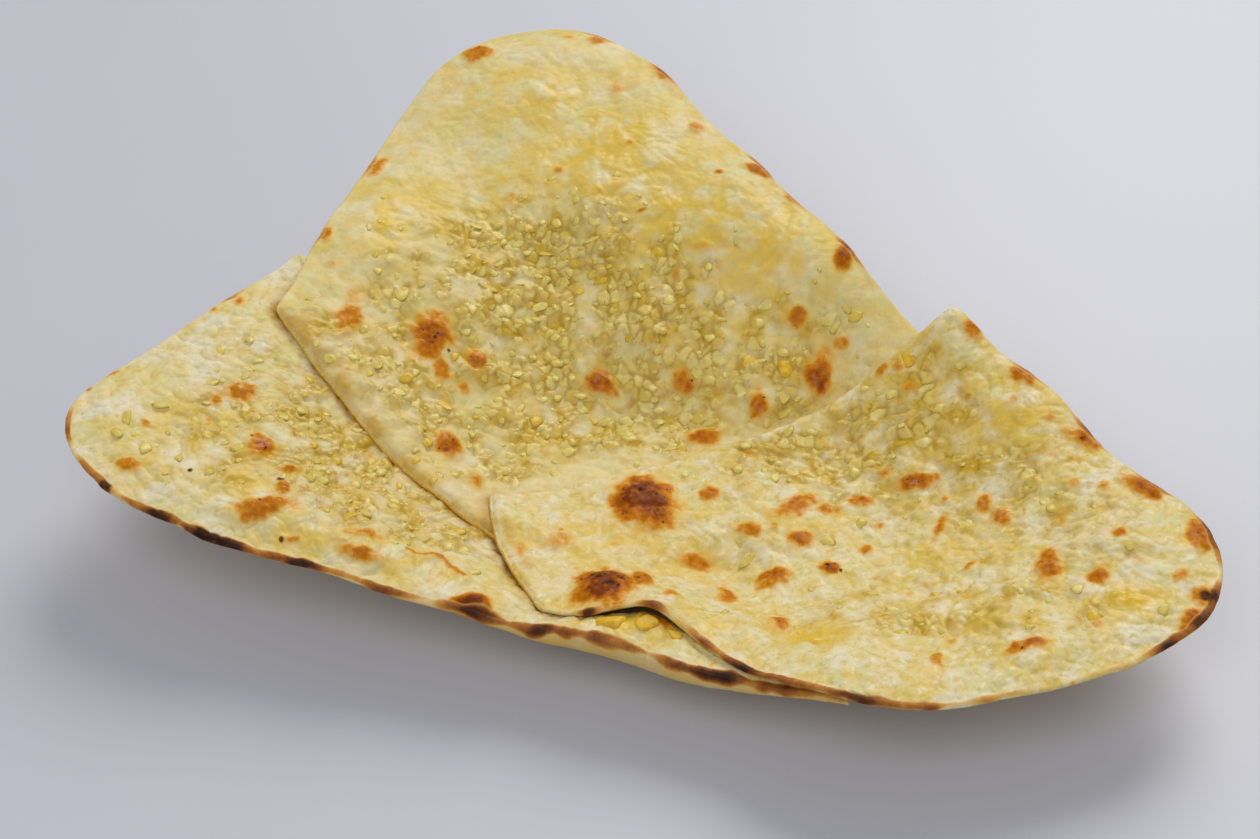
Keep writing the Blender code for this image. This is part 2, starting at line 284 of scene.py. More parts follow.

# How each slice differs from the others, each line from 0 to about 1 unless it says otherwise:
# how much loose garlic it has, how much fine garlic, how many faint small spots (a plain number),
# how lumpy its bare dough is, how white its dry patches are, the least and the most of its
# yellower dough, how strongly painted shade and gold tint its outer wall, and how speckled it is
LOOSE_GARLIC = {"slice_left": 0.5, "slice_back": 0.7, "slice_right": 0.22}
FINE_GARLIC = {"slice_left": 0.9, "slice_back": 1.25, "slice_right": 0.95}
SMALL_SPOTS = {"slice_left": 70, "slice_back": 60, "slice_right": 150}
PLAIN_ROUGHNESS = {"slice_left": 0.6, "slice_back": 0.3, "slice_right": 0.55}
FLOURY = {"slice_left": 1.0, "slice_back": 0.4, "slice_right": 0.9}
YELLOW_SHARE = {"slice_left": (0.0, 0.58), "slice_back": (0.2, 0.72), "slice_right": (0.0, 0.65)}
WALL_SHADE_AND_GOLD = {"slice_left": 0.6, "slice_back": 0.2, "slice_right": 0.2}
SPECKLED = {"slice_left": 0.25, "slice_back": 0.15, "slice_right": 0.55}

# Colours of dough from barely browned to burnt, on the top and on the rim
SCORCH = (
    (0.05, shade(232, 194, 104)), (0.18, shade(226, 172, 60)), (0.34, shade(216, 148, 26)),
    (0.55, shade(198, 120, 6)), (0.78, shade(168, 88, 0)), (1.0, shade(120, 52, 0)),
)
BROWNED_RIM = (
    (0.05, shade(226, 190, 112)), (0.30, shade(206, 146, 66)), (0.55, shade(160, 96, 36)),
    (0.80, shade(100, 54, 22)), (1.0, shade(54, 28, 14)),
)

MATT_ROUGHNESS = 0.8  # of crumb, char and the underside

# Grid on which heights and masks are kept. The reaches below are counted in its cells
RASTER_CELL = 1.0 * MM
RASTER_MARGIN = 12.0 * MM
SHEET_BLUR = 3.0
SAG_REACH = 14
CONTACT_REACH = 3
COVER_DEEPEST = 12

# How the slices lie on one another: how far an upper one may sag onto the one below, and the gap
# between them, which is below 0 because they press in a little
SAG_MOST = 5.0 * MM
REST_GAP = -0.3 * MM

# Meshes of the slices
TOP_TRIANGLES = 150000  # on the part of a slice's top that shows
COVERED_SPACING = 2.2 * MM  # between points where another slice lies on top
UNDERSIDE_SPACING = 1.9 * MM
OUTLINE_SPACING = 0.7 * MM
WALL_RINGS = 8  # steps round the side, from the top's edge to the underside's
TURN_AT_CORNER = math.radians(38.0)  # an outline that turns more than this has a corner
HIDDEN_DEPTH = 6.0 * MM  # how far under another slice the fine mesh goes on
RELIEF_FADE = 4.0 * MM  # how far under another slice the relief fades out
EDGE_FADE = 2.0 * MM  # how far in from the edge the relief reaches its full height
FLOOR_GAP = 0.02 * MM
MAP_MARGIN = 9.0 * MM
TOP_SHARE = 0.68  # of the flat map's width, for the top and the side

# Loose pieces: places tried on each slice, how far apart they lie, sizes, and how finely each is made
MINCE_TRIES = 14000
MINCE_SPACING = 3.1 * MM
MINCE_LENGTH = (2.3 * MM, 5.9 * MM)
MINCE_DETAIL = 2
SLIVER_TRIES = 900
SLIVER_SPACING = 8.0 * MM
SLIVER_LENGTH = (5.0 * MM, 8.0 * MM)
SLIVER_DETAIL = 3
BUTTER_DETAIL = 4
FLECK_TRIES = 4000
FLECK_SPACING = 2.5 * MM
FLECK_LENGTH = (0.5 * MM, 1.3 * MM)
FLECK_DETAIL = 2

# Loose pieces keep off places whose normal leans over more than this, and stand more upright than
# the bread under them
STEEPEST = 0.2
UPRIGHTNESS = 0.6

# Browning above which no garlic lies, and above which burnt flecks lie
FREE_OF_GARLIC = 0.08
FLECKED = 0.62

# Fine raster of the dents in which the garlic sits
SEAT_CELL = 0.4 * MM

# Unevenness as layers of smooth noise: share, size in millimetres, seed. The waves and puffs are
# in millimetres, and the others are plain numbers
RIM_WAVES = ((0.40, 19, 11), (0.22, 7, 12), (0.10, 2.6, 13))
CUT_WAVES = ((0.25, 15, 14), (0.12, 3.5, 15), (0.06, 1.6, 16))
PUFFS = ((0.60, 27, 1), (0.42, 13, 2), (0.22, 6.5, 3))
UNDERSIDE_PUFFS = ((0.30, 24, 61), (0.25, 9, 62), (0.1, 3.5, 63))
UNEVEN_SPOTS = ((0.28, 6.5, 21), (0.13, 3.4, 22), (0.05, 1.8, 23))
MOTTLED_SPOTS = ((0.22, 2.2, 25), (0.16, 4.4, 26))
PATCHY_GARLIC = ((0.85, 9, 41), (0.45, 4, 42))

NOISE_TABLE = 256  # cells on a side before the noise repeats

# Each random choice has its own seed
SEED_GARLIC = 31
SEED_SLIVERS = 32
SEED_SMALL_SPOTS = 51
SEED_LATTICE = 71
SEED_MINCE_SHAPES = 101
SEED_SLIVER_SHAPES = 102
SEED_BUTTER_SHAPES = 103
SEED_FLECKS = 104

# Rays that find the surfaces start above or below everything
UP = Vector((0.0, 0.0, 1.0))
DOWN = -UP
OVER_ALL = CAD_BOX[1][2] + 1.0
UNDER_ALL = CAD_BOX[0][2] - 1.0

# Stage: name, place, size, power and colour of each light, and where the camera looks
LIGHTS = (
    ("window", (0.65, 1.8, 1.7), 1.6, 40.0, (1.0, 0.985, 0.96)),
    ("room", (-0.5, -1.6, 2.2), 2.4, 30.0, (0.95, 0.97, 1.0)),
)
ROOM_COLOUR = (0.90, 0.93, 1.0, 1.0)
FLOOR_BEHIND = 0.6
SENSOR_WIDTH = 36.0
CAMERA_AIM = (0.0, -6.8 * MM, 10.0 * MM)


def smoothstep(x):
    """Rises smoothly from 0 to 1 as x does."""
    x = np.clip(x, 0.0, 1.0)
    return x * x * (3.0 - 2.0 * x)


@functools.lru_cache(maxsize=None)
def noise_table(seed):
    """Random slopes at the crossings of a grid, for smooth noise."""
    angles = np.random.default_rng(seed).uniform(0.0, 2.0 * math.pi, (NOISE_TABLE, NOISE_TABLE))
    return np.cos(angles), np.sin(angles)


def noise(x, y, size, seed):
    """Smooth noise from about -1 to 1 with bumps about as wide as size."""
    across, along = noise_table(seed)
    u, v = x / size, y / size
    i, j = np.floor(u).astype(int), np.floor(v).astype(int)
    du, dv = u - i, v - j

    def pull(right, up):
        cell = (i + right) % NOISE_TABLE, (j + up) % NOISE_TABLE
        return across[cell] * (du - right) + along[cell] * (dv - up)

    su, sv = (d * d * d * (d * (d * 6.0 - 15.0) + 10.0) for d in (du, dv))
    low = pull(0, 0) * (1.0 - su) + pull(1, 0) * su
    high = pull(0, 1) * (1.0 - su) + pull(1, 1) * su
    return 1.6 * (low * (1.0 - sv) + high * sv)


def layered(x, y, layers):
    """Layers of smooth noise added up."""
    return sum(share * noise(x, y, size * MM, seed) for share, size, seed in layers)


@functools.lru_cache(maxsize=None)
def pebble_table(seed):
    """A random place in each cell of a grid, and a number for it."""
    rng = np.random.default_rng(seed)
    shape = (NOISE_TABLE, NOISE_TABLE)
    return rng.uniform(0.08, 0.92, shape), rng.uniform(0.08, 0.92, shape), rng.uniform(0.0, 1.0, shape)


def pebbles(x, y, size, seed):
    """Cells about as wide as size: 0 in the gaps between them to 1 on top, and a number for each."""
    right, up, number = pebble_table(seed)
    u, v = x / size, y / size
    i, j = np.floor(u).astype(int), np.floor(v).astype(int)
    nearest, second = np.full(x.shape, 9.0), np.full(x.shape, 9.0)
    owner = np.zeros_like(x)
    for di in (-1, 0, 1):
        for dj in (-1, 0, 1):
            cell = (i + di) % NOISE_TABLE, (j + dj) % NOISE_TABLE
            away = np.hypot(i + di + right[cell] - u, j + dj + up[cell] - v)
            owner = np.where(away < nearest, number[cell], owner)
            second = np.minimum(second, np.maximum(nearest, away))
            nearest = np.minimum(nearest, away)
    return smoothstep((second - nearest) / 0.42), owner


def warped(x, y, size, reach, seed):
    """Points pushed about by smooth noise, so that plain shapes on them come out uneven."""
    return x + reach * noise(x, y, size, seed), y + reach * noise(x, y, size, seed + 1)


def crinkle(x, y, size, seed):
    """Soft bumps with creases between them: 0 in a crease, 1 on top of a bump."""
    bent_x, bent_y = warped(x, y, 2.2 * size, 0.5 * size, seed)
    return np.minimum(1.0, 1.9 * np.abs(noise(bent_x, bent_y, size, seed + 2)))


def line_distance(x, y, line):
    """Distance in millimetres from a straight line between two places given in millimetres."""
    x0, y0, x1, y1 = line
    along_x, along_y = x1 - x0, y1 - y0
    dx, dy = x / MM - x0, y / MM - y0
    t = np.clip((dx * along_x + dy * along_y) / (along_x**2 + along_y**2), 0.0, 1.0)
    return np.hypot(dx - t * along_x, dy - t * along_y)


def round_distance(x, y, middle_x, middle_y, reach):
    """Distance from a place in millimetres, where 1 is as far as reach."""
    return np.hypot(x - middle_x * MM, y - middle_y * MM) / (reach * MM)


def mound(x, y, middle_x, middle_y, across, along, steep=1.0):
    """A soft mound over a place in millimetres: 1 on top, falling off across and along."""
    away = ((x / MM - middle_x) / across) ** 2 + ((y / MM - middle_y) / along) ** 2
    return np.exp(-steep * away)


def zones(places, x, y):
    """How much each point lies in soft round zones, from 0 to 1."""
    outside = np.ones_like(x)
    for *zone, strength in places:
        outside *= 1.0 - strength * mound(x, y, *zone)
    return 1.0 - outside


def sampled(field, u, v):
    """A field's value at places counted in cells, blended between the four nearest cells."""
    u = np.clip(u, 0, field.shape[0] - 1.001)
    v = np.clip(v, 0, field.shape[1] - 1.001)
    i, j = u.astype(int), v.astype(int)
    u, v = u - i, v - j
    near = field[i, j] * (1 - u) + field[i + 1, j] * u
    far = field[i, j + 1] * (1 - u) + field[i + 1, j + 1] * u
    return near * (1 - v) + far * v


def bell(reach):
    """Weights of a bell curve, three times reach to either side, that add up to 1."""
    taps = int(math.ceil(3 * reach))
    weights = np.exp(-0.5 * (np.arange(-taps, taps + 1) / reach) ** 2)
    return weights / weights.sum()


class Raster:
    """A flat grid of cells over the whole naan, on which heights and masks are kept."""

    def __init__(self):
        low, high = np.array(CAD_BOX)[:, :2] + np.array([[-RASTER_MARGIN], [RASTER_MARGIN]])
        self.low = low
        self.shape = tuple(int(n) for n in np.ceil((high - low) / RASTER_CELL))
        steps = [self.low[k] + RASTER_CELL * np.arange(self.shape[k]) for k in (0, 1)]
        self.x, self.y = np.meshgrid(*steps, indexing="ij")

    def sample(self, field, x, y):
        """The field's value at any points."""
        return sampled(field, (x - self.low[0]) / RASTER_CELL, (y - self.low[1]) / RASTER_CELL)


def blur(field, reach):
    """Gaussian blur of a raster field, with reach in cells."""
    weights = bell(reach)
    taps = len(weights) // 2
    for axis in (0, 1):
        pad = [(taps, taps) if k == axis else (0, 0) for k in (0, 1)]
        wide = np.pad(field, pad)
        size = field.shape[axis]
        field = sum(
            weight * np.take(wide, range(k, k + size), axis=axis) for k, weight in enumerate(weights)
        )
    return field


def depth_in(region, cells):
    """How deep each place lies in a region, in metres, up to that many cells."""
    depth = np.zeros(region.shape)
    rest = region.astype(float)
    for _ in range(cells):
        depth += rest * RASTER_CELL
        rest = (widen(1.0 - rest, 1) < 0.5).astype(float)
    return depth


def widen(field, cells):
    """Largest value within that many cells."""
    for _ in range(cells):
        wide = np.pad(field, 1, mode="edge")
        across = np.maximum(wide[2:, 1:-1], wide[:-2, 1:-1])
        along = np.maximum(wide[1:-1, 2:], wide[1:-1, :-2])
        field = np.maximum(wide[1:-1, 1:-1], np.maximum(across, along))
    return field


@functools.lru_cache(maxsize=None)
def raster():
    """The one grid that everything shares."""
    return Raster()


def spread(values, mask):
    """Smooths values over the mask, and carries them on past its edge."""
    known = mask.astype(float)
    filled = np.where(mask, values, 0.0)
    for _ in range(4):
        weight = blur(known, SHEET_BLUR)
        smooth = blur(filled * known, SHEET_BLUR) / np.maximum(weight, 1e-9)
        known = (weight > 0.02).astype(float)
        filled = np.where(mask, values, smooth * known)
    return blur(filled * known, SHEET_BLUR) / np.maximum(blur(known, SHEET_BLUR), 1e-9)


def loop_round(body, way):
    """The closed line round the faces of a slice that look up (way 1) or down (way -1)."""
    facing = {face.index for face in body.faces if face.normal.z * way > 0.66}
    following = {}
    for face in body.faces:
        if face.index not in facing:
            continue
        for side in face.loops:
            across = side.link_loop_radial_next.face
            if across.index not in facing:
                following[side.vert.index] = side.link_loop_next.vert.index
    start = index = next(iter(following))
    line = []
    while True:
        line.append(body.verts[index].co.xy)
        index = following[index]
        if index == start:
            break
    line = np.array(line)
    return line if way > 0 else line[::-1]


def nearest_on(line, points):
    """The nearest point of a closed line to each point."""
    a, b = line, np.roll(line, -1, axis=0)
    run = b - a
    t = ((points[:, None] - a) * run).sum(-1) / np.maximum((run**2).sum(-1), 1e-18)
    on_line = a + np.clip(t, 0, 1)[..., None] * run
    best = np.linalg.norm(points[:, None] - on_line, axis=-1).argmin(1)
    return on_line[np.arange(len(points)), best]


def even_points(line, spacing):
    """Points along an open line at about that spacing, its ends included."""
    lengths = np.concatenate([[0.0], np.cumsum(np.linalg.norm(np.diff(line, axis=0), axis=1))])
    count = max(2, int(round(lengths[-1] / spacing)) + 1)
    at = np.linspace(0.0, lengths[-1], count)
    return np.stack([np.interp(at, lengths, line[:, k]) for k in range(2)], axis=1)


def soften(line, reach):
    """Smooths an open line without moving its ends."""
    taps = 3 * reach
    before = 2 * line[0] - line[taps:0:-1]
    after = 2 * line[-1] - line[-2 : -taps - 2 : -1]
    longer = np.vstack([before, line, after])
    return np.stack([np.convolve(longer[:, k], bell(reach), "valid") for k in range(2)], axis=1)


def inside(outline, x, y):
    """True for each point that lies within a closed outline."""
    within = np.zeros(x.shape, bool)
    for (x0, y0), (x1, y1) in zip(outline, np.roll(outline, -1, axis=0), strict=True):
        crosses = (y0 > y) != (y1 > y)
        level = y1 - y0 if y1 != y0 else 1.0
        within ^= crosses & (x < x0 + (y - y0) * (x1 - x0) / level)
    return within


def around(values, reach):
    """Smooths values round a closed outline."""
    taps = 3 * reach
    longer = np.concatenate([values[-taps:], values, values[:taps]])
    return np.convolve(longer, bell(reach), "valid")


class Sheet:
    """The plain shape of one slice, read from its solid: middle height, thickness and outline."""

    def __init__(self, name):
        self.name = name
        body = bmesh.new()
        body.from_mesh(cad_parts[name].data)
        bmesh.ops.remove_doubles(body, verts=body.verts, dist=0.01 * MM)
        body.normal_update()
        body.verts.ensure_lookup_table()
        self.read_heights(BVHTree.FromBMesh(body))
        self.read_outline(loop_round(body, 1), loop_round(body, -1))
        body.free()

    def read_heights(self, tree):
        """Reads the slice's top and underside cell by cell, and from them its middle and thickness."""
        grid = raster()
        top, bottom = np.zeros(grid.shape), np.zeros(grid.shape)
        mask = np.zeros(grid.shape, bool)
        (x0, y0, _), (x1, y1, _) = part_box(self.name)
        near = (grid.x > x0) & (grid.x < x1) & (grid.y > y0) & (grid.y < y1)
        for i, j in np.argwhere(near):
            hit = tree.ray_cast(Vector((grid.x[i, j], grid.y[i, j], OVER_ALL)), DOWN)[0]
            if hit is None:
                continue
            top[i, j] = hit.z
            bottom[i, j] = tree.ray_cast(Vector((grid.x[i, j], grid.y[i, j], UNDER_ALL)), UP)[0].z
            mask[i, j] = True
        inner = widen((~mask).astype(float), 2) < 0.5
        self.middle = spread((top + bottom) / 2, inner)
        slope_x, slope_y = np.gradient(self.middle, RASTER_CELL)
        lean = 1.0 / np.sqrt(1.0 + slope_x**2 + slope_y**2)
        self.normal = [-slope_x * lean, -slope_y * lean, lean]
        self.thickness = spread((top - bottom) * lean, inner)
        self.mask = mask

    def read_outline(self, top_line, bottom_line):
        """Splits the outline at its three corners, and smooths each side between them."""
        line = (top_line + nearest_on(bottom_line, top_line)) / 2
        before, after = line - np.roll(line, 1, axis=0), np.roll(line, -1, axis=0) - line
        turn = np.arctan2(
            before[:, 0] * after[:, 1] - before[:, 1] * after[:, 0], (before * after).sum(1)
        )
        corners = np.flatnonzero(turn > TURN_AT_CORNER)
        if len(corners) != 3:
            raise RuntimeError(f"{self.name} has {len(corners)} corners, and a slice has 3")
        sides = []
        for start, end in zip(corners, np.roll(corners, -1), strict=True):
            count = (end - start) % len(line)
            side = line[(start + np.arange(count + 1)) % len(line)]
            sides.append(soften(even_points(side, OUTLINE_SPACING), 6))
        lengths = [len(side) for side in sides]
        rim = int(np.argmax(lengths))
        outline = np.vstack([side[:-1] for side in sides])
        self.plain_outline = np.stack([around(outline[:, k], 1) for k in range(2)], axis=1)
        on_rim = np.concatenate(
            [np.full(count - 1, float(k == rim)) for k, count in enumerate(lengths)]
        )
        self.on_rim = smoothstep(around(on_rim, 3))
        self.set_outline(self.plain_outline)
        self.outline = self.uneven_outline()
        self.set_outline(self.outline)

    def set_outline(self, outline):
        """Works out which way is outward at each point of the outline."""
        ahead = np.roll(outline, -1, axis=0) - np.roll(outline, 1, axis=0)
        ahead = np.stack([around(ahead[:, k], 5) for k in range(2)], axis=1)
        ahead /= np.linalg.norm(ahead, axis=1)[:, None]
        self.outward = np.stack([ahead[:, 1], -ahead[:, 0]], axis=1)

    def uneven_outline(self):
        """The outline with the small unevenness of a baked rim and of knife cuts."""
        x, y = self.plain_outline.T
        rim, cut = layered(x, y, RIM_WAVES), layered(x, y, CUT_WAVES)
        out = (self.on_rim * rim + (1.0 - self.on_rim) * cut) * MM
        for nib_x, nib_y, width, bulge, _ in RIM_NIBS[self.name]:
            away = round_distance(x, y, nib_x, nib_y, width)
            out += bulge * MM * np.exp(-(away**2)) * self.on_rim
        return self.plain_outline + self.outward * out[:, None]

    def at(self, x, y):
        """Middle height, thickness and normal of the sheet at points of its plan."""
        grid = raster()
        normal = np.stack([grid.sample(part, x, y) for part in self.normal], axis=-1)
        normal /= np.linalg.norm(normal, axis=-1)[..., None]
        return grid.sample(self.middle, x, y), grid.sample(self.thickness, x, y), normal


@functools.lru_cache(maxsize=None)
def sheet(name):
    """The plain shape of a slice, read once."""
    return Sheet(name)


@functools.lru_cache(maxsize=None)
def cover(name):
    """Raster field: how deep each place of a slice lies under the slices above it, in metres."""
    grid = raster()
    covered = np.zeros(grid.shape, bool)
    for above in SLICES[SLICES.index(name) + 1 :]:
        covered |= sheet(above).mask
    return depth_in(covered, COVER_DEEPEST)


@functools.lru_cache(maxsize=None)
def under_edge_oil_and_shade(name):
    """Raster field of painted shadow and oil: 1 where the edge of a slice above lies on this one, 0 some
    way off.
    """
    away = depth_in(cover(name) <= 0, CONTACT_REACH + 2)
    return blur(1.0 - smoothstep((away / RASTER_CELL - 1.0) / CONTACT_REACH), 0.8)


def garlic_thickness(name, x, y):
    """How thick the garlic lies, from 0 to 1."""
    patchy = 0.74 + layered(x, y, PATCHY_GARLIC)
    return np.clip(zones(GARLIC_ZONES[name], x, y) * patchy, 0.0, 1.0)


def scatter(name, rng, tries, spacing, chance):
    """Random places on the part of a slice that shows, kept apart, more of them where chance is high."""
    (x0, y0, _), (x1, y1, _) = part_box(name)
    x, y = rng.uniform(x0, x1, tries), rng.uniform(y0, y1, tries)
    lucky = rng.uniform(0.0, 1.0, tries) < chance(x, y)
    grid = raster()
    solid = grid.sample(blur(sheet(name).mask.astype(float), 1.5), x, y) > 0.97
    shows = grid.sample(blur((cover(name) > 0).astype(float), 1.0), x, y) < 0.03
    chosen = np.stack([x, y], axis=1)[lucky & solid & shows]
    kept = []
    buckets = {}
    for place in chosen:
        cell = tuple((place // spacing).astype(int))
        near = [
            other
            for i in (-1, 0, 1)
            for j in (-1, 0, 1)
            for other in buckets.get((cell[0] + i, cell[1] + j), ())
        ]
        if all(np.hypot(*(place - other)) > spacing for other in near):
            kept.append(place)
            buckets.setdefault(cell, []).append(place)
    return np.array(kept).reshape(-1, 2)


def garlic_chance(name, x, y, share=1.0):
    """How likely a piece of garlic is: none lie on the browned spots."""
    brown, _ = browning(name, x, y)
    loose = garlic_thickness(name, x, y) * LOOSE_GARLIC[name] * (brown < FREE_OF_GARLIC)
    return loose**1.5 * share


def fleck_chance(name, x, y):
    """Burnt flecks lie only on the darkest browned spots."""
    return browning(name, x, y)[0] > FLECKED


def ovals_at(places, length, widths, heights, rng):
    """Rows of x, y, length, width, turn and height for pieces of these lengths."""
    width = length * rng.uniform(*widths, len(places))
    turn = rng.uniform(0.0, math.pi, len(places))
    tall = width * rng.uniform(*heights, len(places))
    return np.column_stack([places, length, width, turn, tall])


@functools.lru_cache(maxsize=None)
def garlic_bits(name):
    """The minced garlic on a slice, as rows of x, y, length, width, turn and height."""
    rng = np.random.default_rng(SEED_GARLIC + SLICES.index(name))
    chance = functools.partial(garlic_chance, name)
    places = scatter(name, rng, MINCE_TRIES, MINCE_SPACING, chance)
    shortest, longest = MINCE_LENGTH
    length = shortest + (longest - shortest) * rng.uniform(0.0, 1.0, len(places)) ** 2
    return ovals_at(places, length, (0.5, 0.95), (0.24, 0.42), rng)


@functools.lru_cache(maxsize=None)
def garlic_slivers(name):
    """The larger slivers of garlic on a slice, as rows like those of the minced garlic."""
    rng = np.random.default_rng(SEED_SLIVERS + 10 * SLICES.index(name))
    chance = functools.partial(garlic_chance, name, share=0.5)
    places = scatter(name, rng, SLIVER_TRIES, SLIVER_SPACING, chance)
    length = rng.uniform(*SLIVER_LENGTH, len(places))
    return ovals_at(places, length, (0.45, 0.75), (0.2, 0.3), rng)


def oval_distance(x, y, oval):
    """Distance from an oval's middle, where 1 is its edge."""
    middle_x, middle_y, length, width, turn = oval
    dx, dy = x - middle_x, y - middle_y
    along = dx * math.cos(turn) + dy * math.sin(turn)
    across = dy * math.cos(turn) - dx * math.sin(turn)
    return np.hypot(along / (length / 2), across / (width / 2))


@functools.lru_cache(maxsize=None)
def garlic_seats(name):
    """Fine raster of how near each place is to a piece of garlic: 1 at its edge, 0 well away."""
    (x0, y0, _), (x1, y1, _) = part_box(name)
    cell = SEAT_CELL
    xs, ys = np.arange(x0, x1, cell), np.arange(y0, y1, cell)
    field = np.zeros((len(xs), len(ys)))
    for oval in np.vstack([garlic_bits(name), garlic_slivers(name)]):
        reach = int(oval[2] / 2 * 1.7 / cell) + 1
        i, j = int((oval[0] - x0) / cell), int((oval[1] - y0) / cell)
        rows = slice(max(0, i - reach), min(len(xs), i + reach + 1))
        columns = slice(max(0, j - reach), min(len(ys), j + reach + 1))
        x, y = np.meshgrid(xs[rows], ys[columns], indexing="ij")
        away = oval_distance(x, y, oval[:5])
        ring = np.exp(-(((away - 1.05) / 0.28) ** 2))
        field[rows, columns] = np.maximum(field[rows, columns], ring)
    return xs[0], ys[0], field


def near_garlic(name, x, y):
    """How near any point is to a piece of garlic, read from the fine raster."""
    x0, y0, field = garlic_seats(name)
    return sampled(field, (x - x0) / SEAT_CELL, (y - y0) / SEAT_CELL)


@functools.lru_cache(maxsize=None)
def spots_of(name):
    """The named browned spots of a slice, and many small faint ones between them."""
    spots = [
        (x * MM, y * MM, length * MM, width * MM, math.radians(turn), depth)
        for x, y, length, width, turn, depth in SPOTS[name]
    ]
    rng = np.random.default_rng(SEED_SMALL_SPOTS + SLICES.index(name))
    (x0, y0, _), (x1, y1, _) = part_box(name)
    for _ in range(SMALL_SPOTS[name]):
        size = rng.uniform(1.8, 5.0) * MM
        spots.append(
            (
                rng.uniform(x0, x1),
                rng.uniform(y0, y1),
                size,
                size * rng.uniform(0.4, 1.0),
                rng.uniform(0.0, math.pi),
                rng.uniform(0.06, 0.42),
            )
        )
    return spots


def browning(name, x, y, blister_height=0.0):
    """How brown the top is baked, from 0 to 1, and how high its blisters and folds rise, in metres."""
    brown, rise = np.zeros_like(x), np.zeros_like(x)
    uneven = layered(x, y, UNEVEN_SPOTS)
    mottled = 1.0 + layered(x, y, MOTTLED_SPOTS)
    for spot_x, spot_y, length, width, turn, depth in spots_of(name):
        near = np.flatnonzero(np.hypot(x - spot_x, y - spot_y) < length * 1.2 + 3 * MM)
        if not len(near):
            continue
        away = oval_distance(x[near], y[near], (spot_x, spot_y, length, width, turn))
        edge = away + uneven[near] * min(1.3, 8 * MM / width + 0.3)
        soft = 1.0 + 2.0 * MM / width
        deep = depth * (0.74 + 0.30 * np.clip(1.0 - edge**2, 0.0, 1.0)) * mottled[near]
        spot = deep * smoothstep((0.95 + 0.5 * soft - edge) / soft)
        halo = 0.20 * depth * smoothstep((1.8 - edge) / 0.9)
        brown[near] = np.maximum(brown[near], np.maximum(spot, halo))
        dome = smoothstep((1.25 - away) / 0.9)
        height = blister_height * depth * min(1.0, width / (10 * MM))
        rise[near] = np.maximum(rise[near], dome * height)
    for *line, width, height, crest in RIDGES[name]:
        away = line_distance(x, y, line) / width * (1.0 + 0.3 * noise(x, y, 4 * MM, 24))
        rise += height * MM * np.exp(-(away**2))
        brown = np.maximum(brown, crest * smoothstep(1.0 - away / 0.75))
    for *bubble, height in BUBBLES[name]:
        rise += height * MM * mound(x, y, *bubble, steep=1.5)
    return brown, rise


def roughness_of(name, x, y):
    """How lumpy the top is, from 0 to 1: most under the garlic."""
    plain = PLAIN_ROUGHNESS[name]
    return plain + (1.0 - plain) * smoothstep(garlic_thickness(name, x, y) * 1.5)


def crests(x, y):
    """The lumps of the baked top: 0 in the hollows, 1 on the lumps."""
    return 0.68 * crinkle(x, y, 8.5 * MM, 110) + 0.32 * crinkle(x, y, 4.4 * MM, 120)


def top_relief(name, x, y, settings):
    """How far the bare top stands above the plain sheet, in metres."""
    puffs = layered(x, y, PUFFS)
    lumps = settings.lump_height * roughness_of(name, x, y) * (crests(x, y) - 0.4)
    bend_x, bend_y = warped(x, y, 15 * MM, 4 * MM, 17)
    folds = 1.0 - np.abs(noise(0.6 * bend_x, bend_y, 5.2 * MM, 5))
    wrinkles = (0.05 + 0.40 * zones(WRINKLED, x, y)) * folds**3
    fine_x, fine_y = warped(x, y, 6 * MM, 1.6 * MM, 131)
    grain = crinkle(0.75 * fine_x, fine_y, 2.6 * MM, 133) - 0.6
    grain *= settings.grain_height * PLAIN_ROUGHNESS[name]
    seat = settings.seat_depth * near_garlic(name, x, y)
    smooth = puffs + wrinkles + 0.05 * noise(x, y, 1.5 * MM, 7)
    return smooth * MM + lumps + grain - seat


def mince_on(name, x, y):
    """The fine garlic that carpets the bread: how much of it there is, its creases, and its tone."""
    bare = smoothstep(browning(name, x, y)[0] / 0.25)
    thick = FINE_GARLIC[name] * garlic_thickness(name, x, y) * (1.0 - bare)
    near_x, near_y = warped(x, y, 4 * MM, 1.2 * MM, 130)
    dome, owner = pebbles(near_x, near_y, 3.6 * MM, 8)
    small_dome, small_owner = pebbles(near_x, near_y, 2.3 * MM, 9)
    there = smoothstep((thick - 0.15 - 0.65 * owner) / 0.28)
    small_there = smoothstep((thick - 0.1 - 0.7 * small_owner) / 0.28) * (1.0 - there)
    tone, small_tone = 7.3 * owner % 1.0, 7.3 * small_owner % 1.0
    amount = there * dome**0.6 * (0.55 + 0.45 * tone) + small_there * small_dome**0.6 * 0.5
    creases = there * (1.0 - dome) ** 1.5 + 0.7 * small_there * (1.0 - small_dome) ** 1.5
    return amount, creases, np.where(there > small_there, tone, small_tone)


def bottom_relief(x, y):
    """How far the underside stands below the plain sheet."""
    return layered(x, y, UNDERSIDE_PUFFS) * MM


def lattice(outline, spacing, rng):
    """Points of a slightly uneven triangular lattice over an outline's box."""
    (x0, y0), (x1, y1) = outline.min(0), outline.max(0)
    rows = np.arange(y0, y1, spacing * math.sqrt(0.75))
    columns = np.arange(x0, x1, spacing)
    x, y = np.meshgrid(columns, rows)
    x[1::2] += spacing / 2
    x, y = x.ravel(), y.ravel()
    return x + rng.uniform(-0.12, 0.12, x.size) * spacing, y + rng.uniform(-0.12, 0.12, x.size) * spacing


def fill(ring, points):
    """Triangles that fill a closed ring and use the points: all the points, and the faces."""
    count = len(ring)
    places = [Vector(place) for place in np.vstack([ring, points])]
    edges = [(k, (k + 1) % count) for k in range(count)]
    made, _, faces, _, _, _ = delaunay_2d_cdt(places, edges, [list(range(count))], 1, 1e-7)
    if len(made) != len(places):
        raise RuntimeError("the outline crosses itself")
    return [tuple(face) for face in faces]


